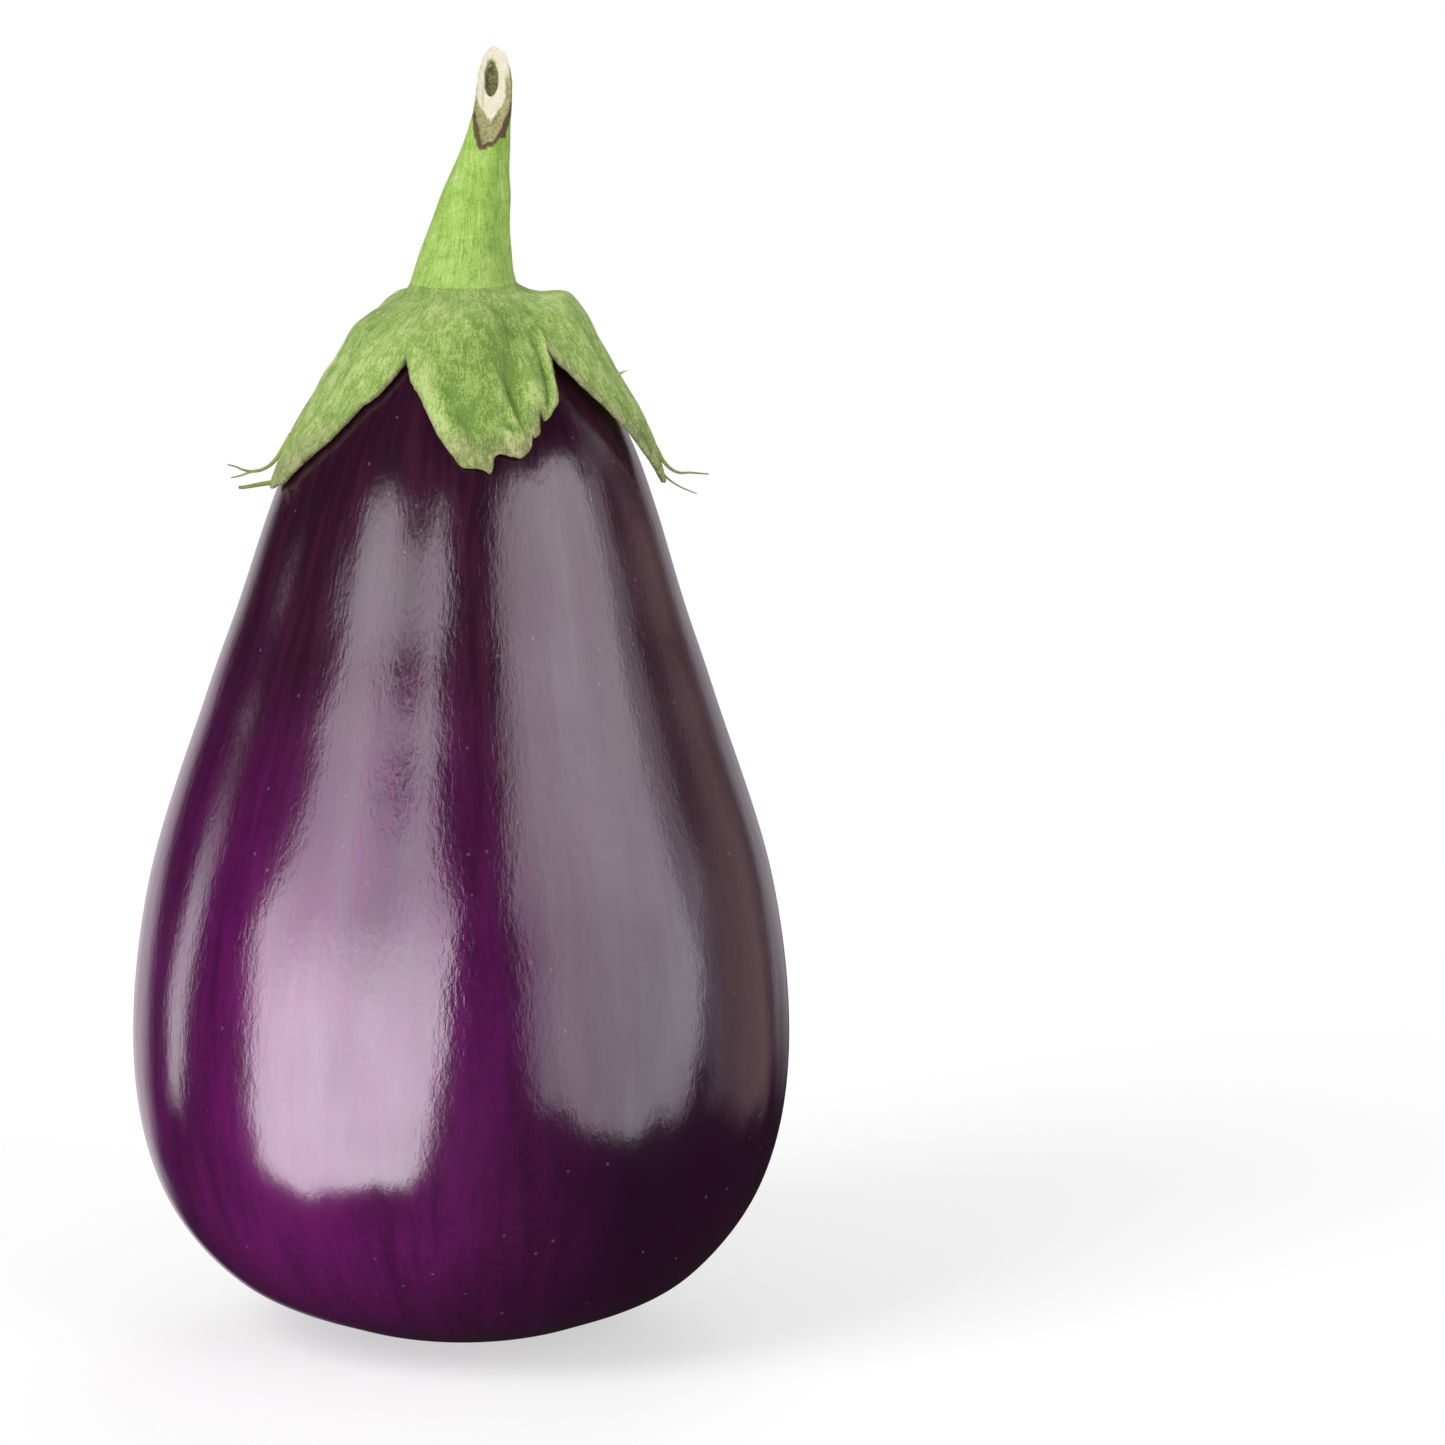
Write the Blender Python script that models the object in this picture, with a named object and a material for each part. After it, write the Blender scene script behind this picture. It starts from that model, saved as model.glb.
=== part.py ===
"""A globe eggplant as picked, standing on its blossom end: the fruit, the calyx and the cut stem.

Lengths are in metres and +Z is up. The origin is the middle of the flat spot that the fruit rests on.
Azimuths are in degrees, anticlockwise from +X seen from above, and the front is -Y.
A place on the fruit is given as an azimuth and a distance along the skin from the crown.
"""

import math
from bisect import bisect_right
from collections import namedtuple

import bmesh
import bpy
from mathutils import Vector

MM = 0.001
SHARP_ANGLE = 40

# Fruit: a lathed pear shape, a little out of round, with a flat spot at its blossom end.
FRUIT_HEIGHT = 156.0 * MM
FRUIT_RADIUS = 49.6 * MM
FLAT_RADIUS = 10.0 * MM
OVAL_SHARE = 0.005
OVAL_AZIMUTH = 20
BELLY_SHIFT = -0.55 * MM
BELLY_SHIFT_HEIGHT = 16.0 * MM
NECK_SHIFT = 1.45 * MM
NECK_SHIFT_HEIGHTS = (85.0 * MM, 175.0 * MM)
FRUIT_SEGMENTS = 60
FRUIT_RINGS = 28
RING_CROWDING = 0.06
PROFILE_STEPS = 24

# Height and radius down the fruit's side, as shares of its height and of its greatest radius.
FRUIT_OUTLINE = (
    (1.000, 0.000),
    (0.996, 0.130),
    (0.985, 0.235),
    (0.960, 0.332),
    (0.918, 0.427),
    (0.872, 0.508),
    (0.808, 0.584),
    (0.718, 0.673),
    (0.628, 0.770),
    (0.449, 0.946),
    (0.282, 1.000),
    (0.154, 0.925),
    (0.064, 0.716),
    (0.019, 0.425),
    (0.000, FLAT_RADIUS / FRUIT_RADIUS),
)

# Calyx: a thick fleshy collar round the crown, drawn out into five lobes that lie on the shoulder.
SEAT_GAP = 0.35 * MM
STEM_HOLE = 7.9 * MM
COLLAR_THICKNESS = 3.2 * MM
EDGE_THICKNESS = 0.9 * MM
COLLAR_FADE = 7.0 * MM
SHOULDER_PLACE = 14.0 * MM
SHOULDER_SPREAD = 6.0 * MM
LIFT_START = 10.0 * MM
COLUMNS_PER_SIDE = 8
OUTER_ROWS = 13
INNER_ROWS = 8

# A notch between two lobes: its place, and how far the calyx stands off the skin there.
Notch = namedtuple("Notch", "azimuth along lift")
NOTCHES = (
    Notch(242, 18.4 * MM, 0.2 * MM),
    Notch(315, 17.6 * MM, 1.3 * MM),
    Notch(392, 18.8 * MM, 0.5 * MM),
    Notch(461, 18.2 * MM, 0.3 * MM),
    Notch(526, 18.6 * MM, 0.3 * MM),
)

# A lobe: its tip, how far that stands off the skin, how far its shoulder bulges, and the powers that
# make its two edges straight (about 1) or full (2 and more), clockwise edge first.
Lobe = namedtuple("Lobe", "azimuth along lift bulge edge_powers")
LOBES = (
    Lobe(277, 34.8 * MM, 0.2 * MM, 1.4 * MM, (1.4, 2.4)),
    Lobe(354, 39.0 * MM, 1.9 * MM, 4.0 * MM, (0.85, 0.95)),
    Lobe(426, 36.5 * MM, 0.8 * MM, 2.4 * MM, (1.1, 1.2)),
    Lobe(492, 38.5 * MM, 0.6 * MM, 2.0 * MM, (1.0, 1.1)),
    Lobe(550, 41.0 * MM, 0.2 * MM, 1.3 * MM, (1.0, 1.25)),
)

# Stem: it flares into the collar, leans as it rises, and was cut on a slant that faces the front.
STEM_CLEARANCE = 0.3 * MM
STEM_SEGMENTS = 28
STEM_RINGS = 14
CUT_PLACE = Vector((4.9, -0.65, 188.4)) * MM
CUT_TILT = 66.1
PITH_SHARE = 0.42
PITH_DEPTH = 1.6 * MM

# The stem's axis and radius at each height.
StemStation = namedtuple("StemStation", "height x y radius")
STEM_STATIONS = (
    StemStation(159.3 * MM, 0.3 * MM, 0.0 * MM, 8.3 * MM),
    StemStation(163.0 * MM, 0.5 * MM, 0.0 * MM, 7.2 * MM),
    StemStation(168.0 * MM, 1.2 * MM, 0.0 * MM, 6.15 * MM),
    StemStation(173.0 * MM, 2.2 * MM, -0.1 * MM, 5.3 * MM),
    StemStation(177.0 * MM, 2.95 * MM, -0.2 * MM, 4.3 * MM),
    StemStation(181.0 * MM, 3.9 * MM, -0.3 * MM, 3.5 * MM),
    StemStation(186.0 * MM, 4.8 * MM, -0.3 * MM, 2.85 * MM),
    StemStation(192.0 * MM, 5.2 * MM, -0.2 * MM, 2.6 * MM),
    StemStation(201.0 * MM, 5.3 * MM, 0.0 * MM, 2.5 * MM),
)


def smooth_path(points, steps):
    """A Catmull-Rom curve through 2D points, with this many steps between each two."""
    knots = [2 * points[0] - points[1], *points, 2 * points[-1] - points[-2]]
    path = []
    for before, start, end, after in zip(knots, knots[1:], knots[2:], knots[3:]):
        for step in range(steps):
            t = step / steps
            path.append(
                0.5
                * (
                    2 * start
                    + (end - before) * t
                    + (2 * before - 5 * start + 4 * end - after) * t**2
                    + (3 * start - before - 3 * end + after) * t**3
                )
            )
    return [*path, points[-1]]


def measured(path):
    """The distance from the path's start to each of its points."""
    lengths = [0.0]
    for start, end in zip(path, path[1:]):
        lengths.append(lengths[-1] + (end - start).length)
    return lengths


# Each point is (radius, height), from the crown down to the rim of the flat spot.
MERIDIAN = smooth_path(
    [Vector((radius * FRUIT_RADIUS, height * FRUIT_HEIGHT)) for height, radius in FRUIT_OUTLINE],
    PROFILE_STEPS,
)
MERIDIAN_LENGTHS = measured(MERIDIAN)


def axis_shift(height):
    """How far the fruit's axis lies towards +X at this height: it bends a little over the flat spot."""
    start, end = NECK_SHIFT_HEIGHTS
    neck = NECK_SHIFT * eased((height - start) / (end - start))
    return neck + BELLY_SHIFT * eased(height / BELLY_SHIFT_HEIGHT)


def skin_point(azimuth, along, proud=0.0):
    """The point of the fruit at this azimuth and distance from the crown, or one that stands off it."""
    index = min(bisect_right(MERIDIAN_LENGTHS, along), len(MERIDIAN) - 1)
    start, end = MERIDIAN[index - 1], MERIDIAN[index]
    share = (along - MERIDIAN_LENGTHS[index - 1]) / (end - start).length
    outwards = Vector((start.y - end.y, end.x - start.x)).normalized()
    place = start.lerp(end, share) + proud * outwards
    around = math.radians(azimuth)
    radius = place.x * (1 + OVAL_SHARE * math.cos(2 * (around - math.radians(OVAL_AZIMUTH))))
    return Vector((axis_shift(place.y) + radius * math.cos(around), radius * math.sin(around), place.y))


def eased(value):
    """0 below 0, 1 above 1, and a smooth step between."""
    value = max(0.0, min(1.0, value))
    return value * value * (3 - 2 * value)


def hump(distance, spread):
    return math.exp(-((distance / spread) ** 2))


def new_object(name, mesh_data, colour, roughness):
    """A smooth-shaded object with its own material, from a bmesh."""
    mesh = bpy.data.meshes.new(name)
    mesh_data.to_mesh(mesh)
    mesh_data.free()
    mesh.shade_smooth()
    mesh.set_sharp_from_angle(angle=math.radians(SHARP_ANGLE))
    material = bpy.data.materials.new(name)
    material.use_nodes = True
    shader = material.node_tree.nodes["Principled BSDF"]
    shader.inputs["Base Color"].default_value = (*colour, 1)
    shader.inputs["Roughness"].default_value = roughness
    shader.inputs["Metallic"].default_value = 0
    mesh.materials.append(material)
    thing = bpy.data.objects.new(name, mesh)
    bpy.context.scene.collection.objects.link(thing)
    return thing


def ring_of(mesh_data, points):
    return [mesh_data.verts.new(point) for point in points]


def join_rings(mesh_data, upper, lower):
    """A band of faces between two rings of the same count, which run anticlockwise seen from above."""
    count = len(upper)
    for i in range(count):
        j = (i + 1) % count
        mesh_data.faces.new((upper[i], lower[i], lower[j], upper[j]))


def join_pole(mesh_data, pole, ring):
    """A fan from a point above to the ring below it."""
    for i, corner in enumerate(ring):
        mesh_data.faces.new((pole, corner, ring[(i + 1) % len(ring)]))


def build_fruit():
    """Rings from the crown down to the flat spot, closer together over the crown and the base."""
    mesh_data = bmesh.new()
    azimuths = [360 * i / FRUIT_SEGMENTS for i in range(FRUIT_SEGMENTS)]
    whole = MERIDIAN_LENGTHS[-1]
    rings = []
    for row in range(1, FRUIT_RINGS + 1):
        share = row / FRUIT_RINGS
        along = whole * (share - RING_CROWDING * math.sin(math.tau * share))
        rings.append(ring_of(mesh_data, [skin_point(azimuth, along) for azimuth in azimuths]))
    join_pole(mesh_data, mesh_data.verts.new(skin_point(0, 0)), rings[0])
    for upper, lower in zip(rings, rings[1:]):
        join_rings(mesh_data, upper, lower)
    for corner in rings[-1]:
        corner.co.z = 0
    mesh_data.faces.new(reversed(rings[-1]))
    return new_object("fruit", mesh_data, colour=(0.045, 0.006, 0.035), roughness=0.22)


def lobe_columns():
    """One (azimuth, edge distance, lift, bulge) for each column, right round from the first notch."""
    columns = []
    for index, lobe in enumerate(LOBES):
        before = NOTCHES[index]
        after = NOTCHES[(index + 1) % len(NOTCHES)]
        turn = 360 if after.azimuth < lobe.azimuth else 0
        for notch, azimuth, power, rising in (
            (before, before.azimuth, lobe.edge_powers[0], True),
            (after, after.azimuth + turn, lobe.edge_powers[1], False),
        ):
            for step in range(COLUMNS_PER_SIDE):
                share = step / COLUMNS_PER_SIDE
                out = 1 - share if rising else share
                columns.append(
                    (
                        lobe.azimuth + (azimuth - lobe.azimuth) * out,
                        notch.along + (lobe.along - notch.along) * (1 - out**power),
                        notch.lift * out**2 + lobe.lift * (1 - out**2),
                        lobe.bulge * (1 - out**2) ** 2,
                    )
                )
    return columns


def calyx_point(column, along, outside):
    azimuth, edge, lift, bulge = column
    proud = SEAT_GAP + lift * eased((along - LIFT_START) / (edge - LIFT_START))
    if outside:
        proud += EDGE_THICKNESS
        proud += (COLLAR_THICKNESS - EDGE_THICKNESS) * hump(along - STEM_HOLE, COLLAR_FADE)
        proud += bulge * hump(along - SHOULDER_PLACE, SHOULDER_SPREAD) * eased(
            (along - STEM_HOLE) / (SHOULDER_PLACE - STEM_HOLE)
        )
    return skin_point(azimuth, along, proud)


def build_calyx():
    """A closed ring: over the collar, down the lobes, round their rims and back up against the skin."""
    mesh_data = bmesh.new()
    columns = lobe_columns()
    rings = []
    for rows, outside in ((OUTER_ROWS, True), (INNER_ROWS, False)):
        for row in range(rows):
            share = row / (rows - 1)
            if not outside:
                share = 1 - share
            rings.append(
                ring_of(
                    mesh_data,
                    [
                        calyx_point(column, STEM_HOLE + (column[1] - STEM_HOLE) * share, outside)
                        for column in columns
                    ],
                )
            )
    for upper, lower in zip(rings, rings[1:] + rings[:1]):
        join_rings(mesh_data, upper, lower)
    return new_object("calyx", mesh_data, colour=(0.36, 0.53, 0.13), roughness=0.75)


def stem_ring(mesh_data, height):
    """A level ring of the stem, between its two nearest stations."""
    for low, high in zip(STEM_STATIONS, STEM_STATIONS[1:]):
        if height <= high.height:
            break
    share = (height - low.height) / (high.height - low.height)
    x, y, radius = (a + (b - a) * share for a, b in zip(low[1:], high[1:]))
    return ring_of(
        mesh_data,
        [
            Vector((x + radius * math.cos(turn), y + radius * math.sin(turn), height))
            for turn in (math.tau * i / STEM_SEGMENTS for i in range(STEM_SEGMENTS))
        ],
    )


def build_stem():
    """A foot that sits on the crown inside the collar, then the leaning stem, cut on a slant."""
    mesh_data = bmesh.new()
    foot = STEM_HOLE - STEM_CLEARANCE
    azimuths = [360 * i / STEM_SEGMENTS for i in range(STEM_SEGMENTS)]
    crown_top = SEAT_GAP + COLLAR_THICKNESS
    seat = [(foot / 3, SEAT_GAP), (2 * foot / 3, SEAT_GAP), (foot, SEAT_GAP), (foot, crown_top)]
    rings = [
        ring_of(mesh_data, [skin_point(azimuth, along, proud) for azimuth in azimuths])
        for along, proud in seat
    ]
    low, high = STEM_STATIONS[0].height, STEM_STATIONS[-1].height
    rings += [
        stem_ring(mesh_data, low + (high - low) * row / (STEM_RINGS - 1)) for row in range(STEM_RINGS)
    ]
    pole = mesh_data.verts.new(skin_point(0, 0, SEAT_GAP))
    for i, corner in enumerate(rings[0]):
        mesh_data.faces.new((corner, pole, rings[0][(i + 1) % STEM_SEGMENTS]))
    for lower, upper in zip(rings, rings[1:]):
        join_rings(mesh_data, upper, lower)
    cut_stem(mesh_data)
    return new_object("stem", mesh_data, colour=(0.37, 0.56, 0.12), roughness=0.7)


def cut_stem(mesh_data):
    """The slanting cut across the stem's top, with the pith sunk into the middle of its face."""
    tilt = math.radians(CUT_TILT)
    facing = Vector((0, -math.sin(tilt), math.cos(tilt)))
    everything = [*mesh_data.verts, *mesh_data.edges, *mesh_data.faces]
    bmesh.ops.bisect_plane(
        mesh_data, geom=everything, plane_co=CUT_PLACE, plane_no=facing, clear_outer=True
    )
    rim = [edge for edge in mesh_data.edges if edge.is_boundary]
    face = bmesh.ops.contextual_create(mesh_data, geom=rim)["faces"][0]
    middle = face.calc_center_median()
    bmesh.ops.inset_individual(mesh_data, faces=[face], thickness=0.0, use_even_offset=False)
    for corner in face.verts:
        corner.co = middle.lerp(corner.co, PITH_SHARE)
    wall = bmesh.ops.extrude_discrete_faces(mesh_data, faces=[face])
    floor = wall["faces"][0]
    bmesh.ops.translate(mesh_data, verts=floor.verts, vec=-PITH_DEPTH * facing)
    bmesh.ops.recalc_face_normals(mesh_data, faces=mesh_data.faces)


def main():
    for thing in list(bpy.data.objects):
        bpy.data.objects.remove(thing)
    build_fruit()
    build_calyx()
    build_stem()


main()
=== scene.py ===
"""Models a globe eggplant's skin, calyx and cut stem over its CAD frame, and stands it in a soft studio.

Lengths are in metres and +Z is up. Azimuths are in degrees, anticlockwise from +X seen from above,
and the front is -Y. A place on the fruit is an azimuth and a distance along the skin from the crown.
"""

import math
from collections import namedtuple

import bpy
import numpy as np
from bpy.props import FloatProperty, FloatVectorProperty, PointerProperty
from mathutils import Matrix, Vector, noise


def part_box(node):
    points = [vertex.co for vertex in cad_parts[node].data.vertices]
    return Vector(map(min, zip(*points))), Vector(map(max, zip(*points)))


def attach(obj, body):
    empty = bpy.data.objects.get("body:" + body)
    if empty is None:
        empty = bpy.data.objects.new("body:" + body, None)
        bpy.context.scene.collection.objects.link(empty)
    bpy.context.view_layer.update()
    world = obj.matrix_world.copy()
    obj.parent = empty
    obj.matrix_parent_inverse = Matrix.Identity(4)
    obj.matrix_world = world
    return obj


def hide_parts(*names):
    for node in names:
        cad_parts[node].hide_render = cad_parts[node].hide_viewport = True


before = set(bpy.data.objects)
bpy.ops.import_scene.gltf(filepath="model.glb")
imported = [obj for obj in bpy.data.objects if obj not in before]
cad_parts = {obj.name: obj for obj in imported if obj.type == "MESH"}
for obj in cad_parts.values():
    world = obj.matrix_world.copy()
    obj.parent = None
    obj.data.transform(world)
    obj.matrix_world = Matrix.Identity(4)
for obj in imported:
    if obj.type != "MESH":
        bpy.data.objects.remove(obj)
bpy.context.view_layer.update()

bl_info = {
    "name": "Eggplant Maker",
    "version": (1, 0, 0),
    "blender": (4, 5, 0),
    "location": "3D View > Sidebar > Eggplant",
    "description": "Models a globe eggplant around its CAD frame and lights it",
    "category": "Add Mesh",
}

MM = 0.001
FRUIT_LOW, FRUIT_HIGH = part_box("fruit")

# Fruit: the profile that the frame's fruit is turned from, a little out of round and bent over its base.
FRUIT_HEIGHT = FRUIT_HIGH.z - FRUIT_LOW.z
OVAL_SHARE = 0.005
OVAL_AZIMUTH = 20
FRUIT_RADIUS = (FRUIT_HIGH.x - FRUIT_LOW.x) / 2 / (1 + OVAL_SHARE * math.cos(math.radians(2 * OVAL_AZIMUTH)))
FLAT_RADIUS = 10.0 * MM
BELLY_SHIFT = -0.55 * MM
BELLY_SHIFT_HEIGHT = 16.0 * MM
NECK_SHIFT = 1.45 * MM
NECK_SHIFT_HEIGHTS = (85.0 * MM, 175.0 * MM)
FRUIT_SEGMENTS = 288
FRUIT_ROWS = 210
ROW_CROWDING = 0.06
FRUIT_OUTLINE = (
    (1.000, 0.000),
    (0.996, 0.130),
    (0.985, 0.235),
    (0.960, 0.332),
    (0.918, 0.427),
    (0.872, 0.508),
    (0.808, 0.584),
    (0.718, 0.673),
    (0.628, 0.770),
    (0.449, 0.946),
    (0.282, 1.000),
    (0.154, 0.925),
    (0.064, 0.716),
    (0.019, 0.425),
    (0.000, FLAT_RADIUS / FRUIT_RADIUS),
)
# The flat spot, from its rim to its middle: radius, and height above the table, both in millimetres.
SCAR_OUTLINE = (
    (9.0, 0.0), (8.0, 0.0), (7.0, 0.03), (6.0, 0.12), (5.2, 0.30), (4.4, 0.55), (3.8, 0.62),
    (3.2, 0.52), (2.6, 0.60), (2.0, 0.80), (1.4, 0.85), (0.8, 0.70), (0.4, 0.66), (0.0, 0.65),
)
SCAR_RADIUS = 4.4 * MM
SCAR_EDGE = 1.0 * MM
# Lumps of the skin: their size round the fruit and down it, their weight, and the seed of their noise.
# They grow in above the base, and fade at the crown.
LUMPS = ((0.24, 1.0, 1.0, 0.0), (0.6, 0.8, 0.8, 3.0))
LUMP_LENGTH = 55 * MM
LUMP_START = 4 * MM
LUMP_RISE = 20 * MM
LUMP_CROWN = 8 * MM

# Calyx: a thick collar round the crown, drawn out into five lobes.
SEAT_GAP = 0.35 * MM
STEM_HOLE = 7.9 * MM
COLLAR_START = 8.8 * MM
COLLAR_THICKNESS = 3.4 * MM
COLLAR_FADE = 6.0 * MM
SHOULDER_PLACE = 13.0 * MM
SHOULDER_SPREAD = 5.5 * MM
LIFT_START = 10.0 * MM
FLOW_RADIUS = 20.0 * MM
CALYX_COLUMNS = 660
LOBE_ROWS = 104
FILLET_ROWS = 8
CORE_ROWS = 4
UNDER_ROWS = 26
RIM_CROWDING = 1.5
RIM_JAG = 0.22 * MM
# The lobes thicken inwards from their rim, and are never thinner than this in a crease.
LOBE_EXTRA = 0.45 * MM
LOBE_EXTRA_REACH = 4 * MM
THINNEST = 0.25 * MM
# Towards the rim the folds fade out in two steps: share, and distance.
FOLD_FADES = ((0.6, 1.6 * MM), (0.4, 0.4 * MM))
# Wrinkles all over: size across the growth and along it, height in millimetres, and the seed of their noise.
WRINKLES = ((3.0, 9.0, 0.22, 2.0), (1.1, 3.5, 0.10, 7.0))
# The fillet up to the stem: how strongly it follows both ends, and where it ends, from the crown.
FILLET_SLOPE = 0.45
FILLET_END = 6.0 * MM
SLOPE_STEP = 0.5 * MM
# Inside the stem's foot: the wall's width as a share of the stem's, and how deep it starts.
CORE_SHARE = 0.93
CORE_DROP = 0.9 * MM
# Painted shade: the relief given to the underside only darkens its colour.
UNDERSIDE_SHADE = -0.2 * MM
FAR_FROM_RIM = 1.0

# The rim of the calyx, right round from the notch left of the front lobe: azimuth, and distance in
# millimetres from the crown. Every lobe ends in its own torn or drawn-out tip.
RIM_OUTLINE = (
    (242, 18.4), (245.5, 20.2), (248, 21.8), (253, 24.0), (257, 26.3), (261, 29.0), (264, 30.9),
    (268, 33.1), (272, 35.0), (276, 35.1), (278.3, 35.3), (280.2, 36.0), (281.4, 34.9), (281.9, 33.6),
    (283, 33.1), (285, 33.2), (288, 33.6), (291, 33.8), (293, 33.2), (294.4, 32.6), (295.6, 31.5),
    (295.9, 30.7), (297.2, 30.9), (299, 30.4), (299.3, 29.6), (300.4, 28.0), (300.8, 27.2),
    (301.4, 27.5), (302.2, 28.5), (304, 28.0), (306.5, 27.2), (309.3, 26.1), (310.8, 24.4), (312, 22.0),
    (313.6, 19.8),
    (315, 17.6), (317.5, 19.8), (322, 22.4), (326, 24.8), (330, 27.0), (334, 29.4), (338, 31.7),
    (341, 33.6), (344, 35.6), (347, 37.4), (350, 39.2), (352.6, 40.9), (354.4, 41.4), (356.4, 39.9),
    (360, 36.6), (366, 31.6), (373, 27.0), (381, 22.7), (388, 19.8),
    (392, 18.8), (397, 21.5), (403, 25.0), (408, 28.5), (413, 31.2), (418, 34.2), (422, 36.0),
    (425, 37.2), (427, 36.7), (428, 35.2), (431, 34.9), (433, 33.6), (436, 33.9), (440, 31.2),
    (446, 27.2), (452, 23.0), (457, 19.8),
    (461, 18.2), (465, 20.4), (470, 24.0), (475, 28.0), (480, 32.2), (484, 34.6), (486, 34.4),
    (489, 37.8), (491.5, 38.9), (493, 37.6), (495.5, 37.9), (499, 35.6), (505, 31.5), (511, 27.0),
    (518, 22.4), (523, 19.5),
    (526, 18.6), (530, 21.2), (534, 25.4), (538, 30.0), (541, 34.0), (543.6, 37.6), (546, 40.4),
    (549, 41.5), (552, 41.0), (556, 40.4), (560, 40.1), (564, 38.2), (570, 35.9), (575, 33.9),
    (580, 31.7), (584, 29.2), (588, 26.4), (594, 24.1), (597, 22.1), (600, 19.8),
)

# Where each notch and each lobe's tip stands, how far it is lifted off the skin, and the lobe's bulge.
Place = namedtuple("Place", "azimuth lift bulge")
RIM_PLACES = (
    Place(242, 0.2 * MM, 0.0 * MM),
    Place(277, 0.2 * MM, 1.4 * MM),
    Place(315, 1.3 * MM, 0.0 * MM),
    Place(354, 1.9 * MM, 3.7 * MM),
    Place(392, 0.5 * MM, 0.0 * MM),
    Place(426, 0.8 * MM, 2.4 * MM),
    Place(461, 0.3 * MM, 0.0 * MM),
    Place(492, 0.6 * MM, 2.0 * MM),
    Place(526, 0.3 * MM, 0.0 * MM),
    Place(550, 0.2 * MM, 0.9 * MM),
    Place(602, 0.2 * MM, 0.0 * MM),
)

# Ribs, folds and creases: the places they run through (azimuth and millimetres from the crown), their
# half width, and their height at the start, the middle and the end. Negative heights are valleys.
Fold = namedtuple("Fold", "places width heights")
FOLDS = (
    # The front lobe: a raised left margin that ends in a flap, ribs and valleys, and a rolled right margin.
    Fold(((238, 14.0), (249, 19.4), (258, 24.4), (265, 29.0), (272.5, 33.4)), 1.9, (0.1, 0.55, 0.85)),
    Fold(((247, 13.5), (259, 19.8), (267, 24.5), (271, 28.0)), 1.5, (-0.15, -0.65, -0.7)),
    Fold(((268.5, 25.5), (272.2, 28.5), (274.6, 31.4), (276.6, 34.6)), 0.45, (-0.3, -0.75, -0.7)),
    Fold(((276, 17.0), (281, 22.0), (283, 27.0), (282.5, 31.5)), 1.6, (0.2, 0.3, -0.1)),
    Fold(((283, 18.5), (287.2, 24.6), (289.6, 28.0), (292.2, 31.0)), 0.75, (0.1, 0.6, 0.5)),
    Fold(
        ((297, 14.0), (291.5, 19.8), (290.6, 24.4), (292.8, 28.0), (294.6, 30.4)), 0.95, (-0.3, -0.6, -0.45)
    ),
    Fold(((289.4, 21.0), (290.2, 24.4), (291.8, 27.6), (294.2, 30.4)), 0.32, (-0.2, -0.45, -0.3)),
    Fold(((283, 28.6), (287, 30.4), (291.5, 32.8)), 0.9, (0.2, 0.6, 0.5)),
    Fold(((286, 28.0), (288, 29.2), (290.6, 31.2)), 0.4, (-0.3, -0.5, -0.3)),
    Fold(((300, 14.5), (299, 20.0), (299.5, 25.0)), 1.5, (0.15, 0.35, 0.3)),
    Fold(((316, 15.0), (312.2, 19.4), (310.4, 22.6), (307.4, 26.4)), 0.50, (0.3, 0.75, 0.5)),
    Fold(((311.5, 14.6), (309.2, 19.0), (307.6, 22.2), (304.6, 26.2)), 0.42, (-0.3, -0.75, -0.5)),
    # Creases that spread over the collar from the stem.
    Fold(((262, 10.5), (264, 14.0), (267, 18.5)), 0.9, (-0.2, -0.35, 0.0)),
    Fold(((292, 10.0), (296, 13.0), (304, 17.0)), 1.0, (-0.35, -0.45, -0.1)),
    Fold(((318, 11.0), (326, 14.0), (334, 19.0)), 1.1, (-0.2, -0.3, -0.05)),
    Fold(((228, 10.5), (222, 14.5), (217, 20.0)), 1.1, (-0.3, -0.3, 0.0)),
    # The fold near the tip of the right lobe.
    Fold(((338, 27.5), (344, 32.0), (349, 37.0)), 0.6, (-0.1, -0.5, -0.4)),
)
# Broad swells and hollows of the calyx: azimuth, millimetres from the crown, spread in degrees and in
# millimetres, and height in millimetres.
Swell = namedtuple("Swell", "azimuth along turn reach height")
SWELLS = (
    Swell(190, 26.0, 30, 5.0, -1.60),
    Swell(192, 15.6, 24, 2.0, 0.50),
    Swell(186, 10.5, 34, 3.2, -0.95),
    Swell(350, 13.8, 26, 3.0, -0.45),
    Swell(352, 19.0, 24, 4.0, 0.55),
)
# Painted light and shade that don't follow the relief, darker in the front lobe's shaded middle and lighter
# on raised parts: the same four numbers, and lighter or darker.
LIGHT_AND_SHADE_PATCHES = (
    Swell(285, 20.5, 15, 7.0, -1.05),
    Swell(299, 23.5, 5, 5.0, 0.55),
    Swell(278, 29.0, 9, 4.0, -0.75),
    Swell(255, 25.0, 7, 9.0, 0.55),
    Swell(300, 13.5, 22, 3.0, -0.30),
    Swell(270, 11.5, 22, 3.5, 0.50),
    Swell(200, 22.0, 30, 9.0, 0.30),
    Swell(226, 17.0, 12, 5.0, 0.55),
    Swell(345, 17.0, 24, 9.0, 0.60),
)
# Every other lobe has a midrib and two side ribs, which fade before its tip.
LobeRibs = namedtuple("LobeRibs", "azimuth length spread")
LOBE_RIBS = (
    LobeRibs(354, 37.0, 15),
    LobeRibs(426, 34.0, 14),
    LobeRibs(492, 35.0, 13),
    LobeRibs(558, 36.0, 19),
)

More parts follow.
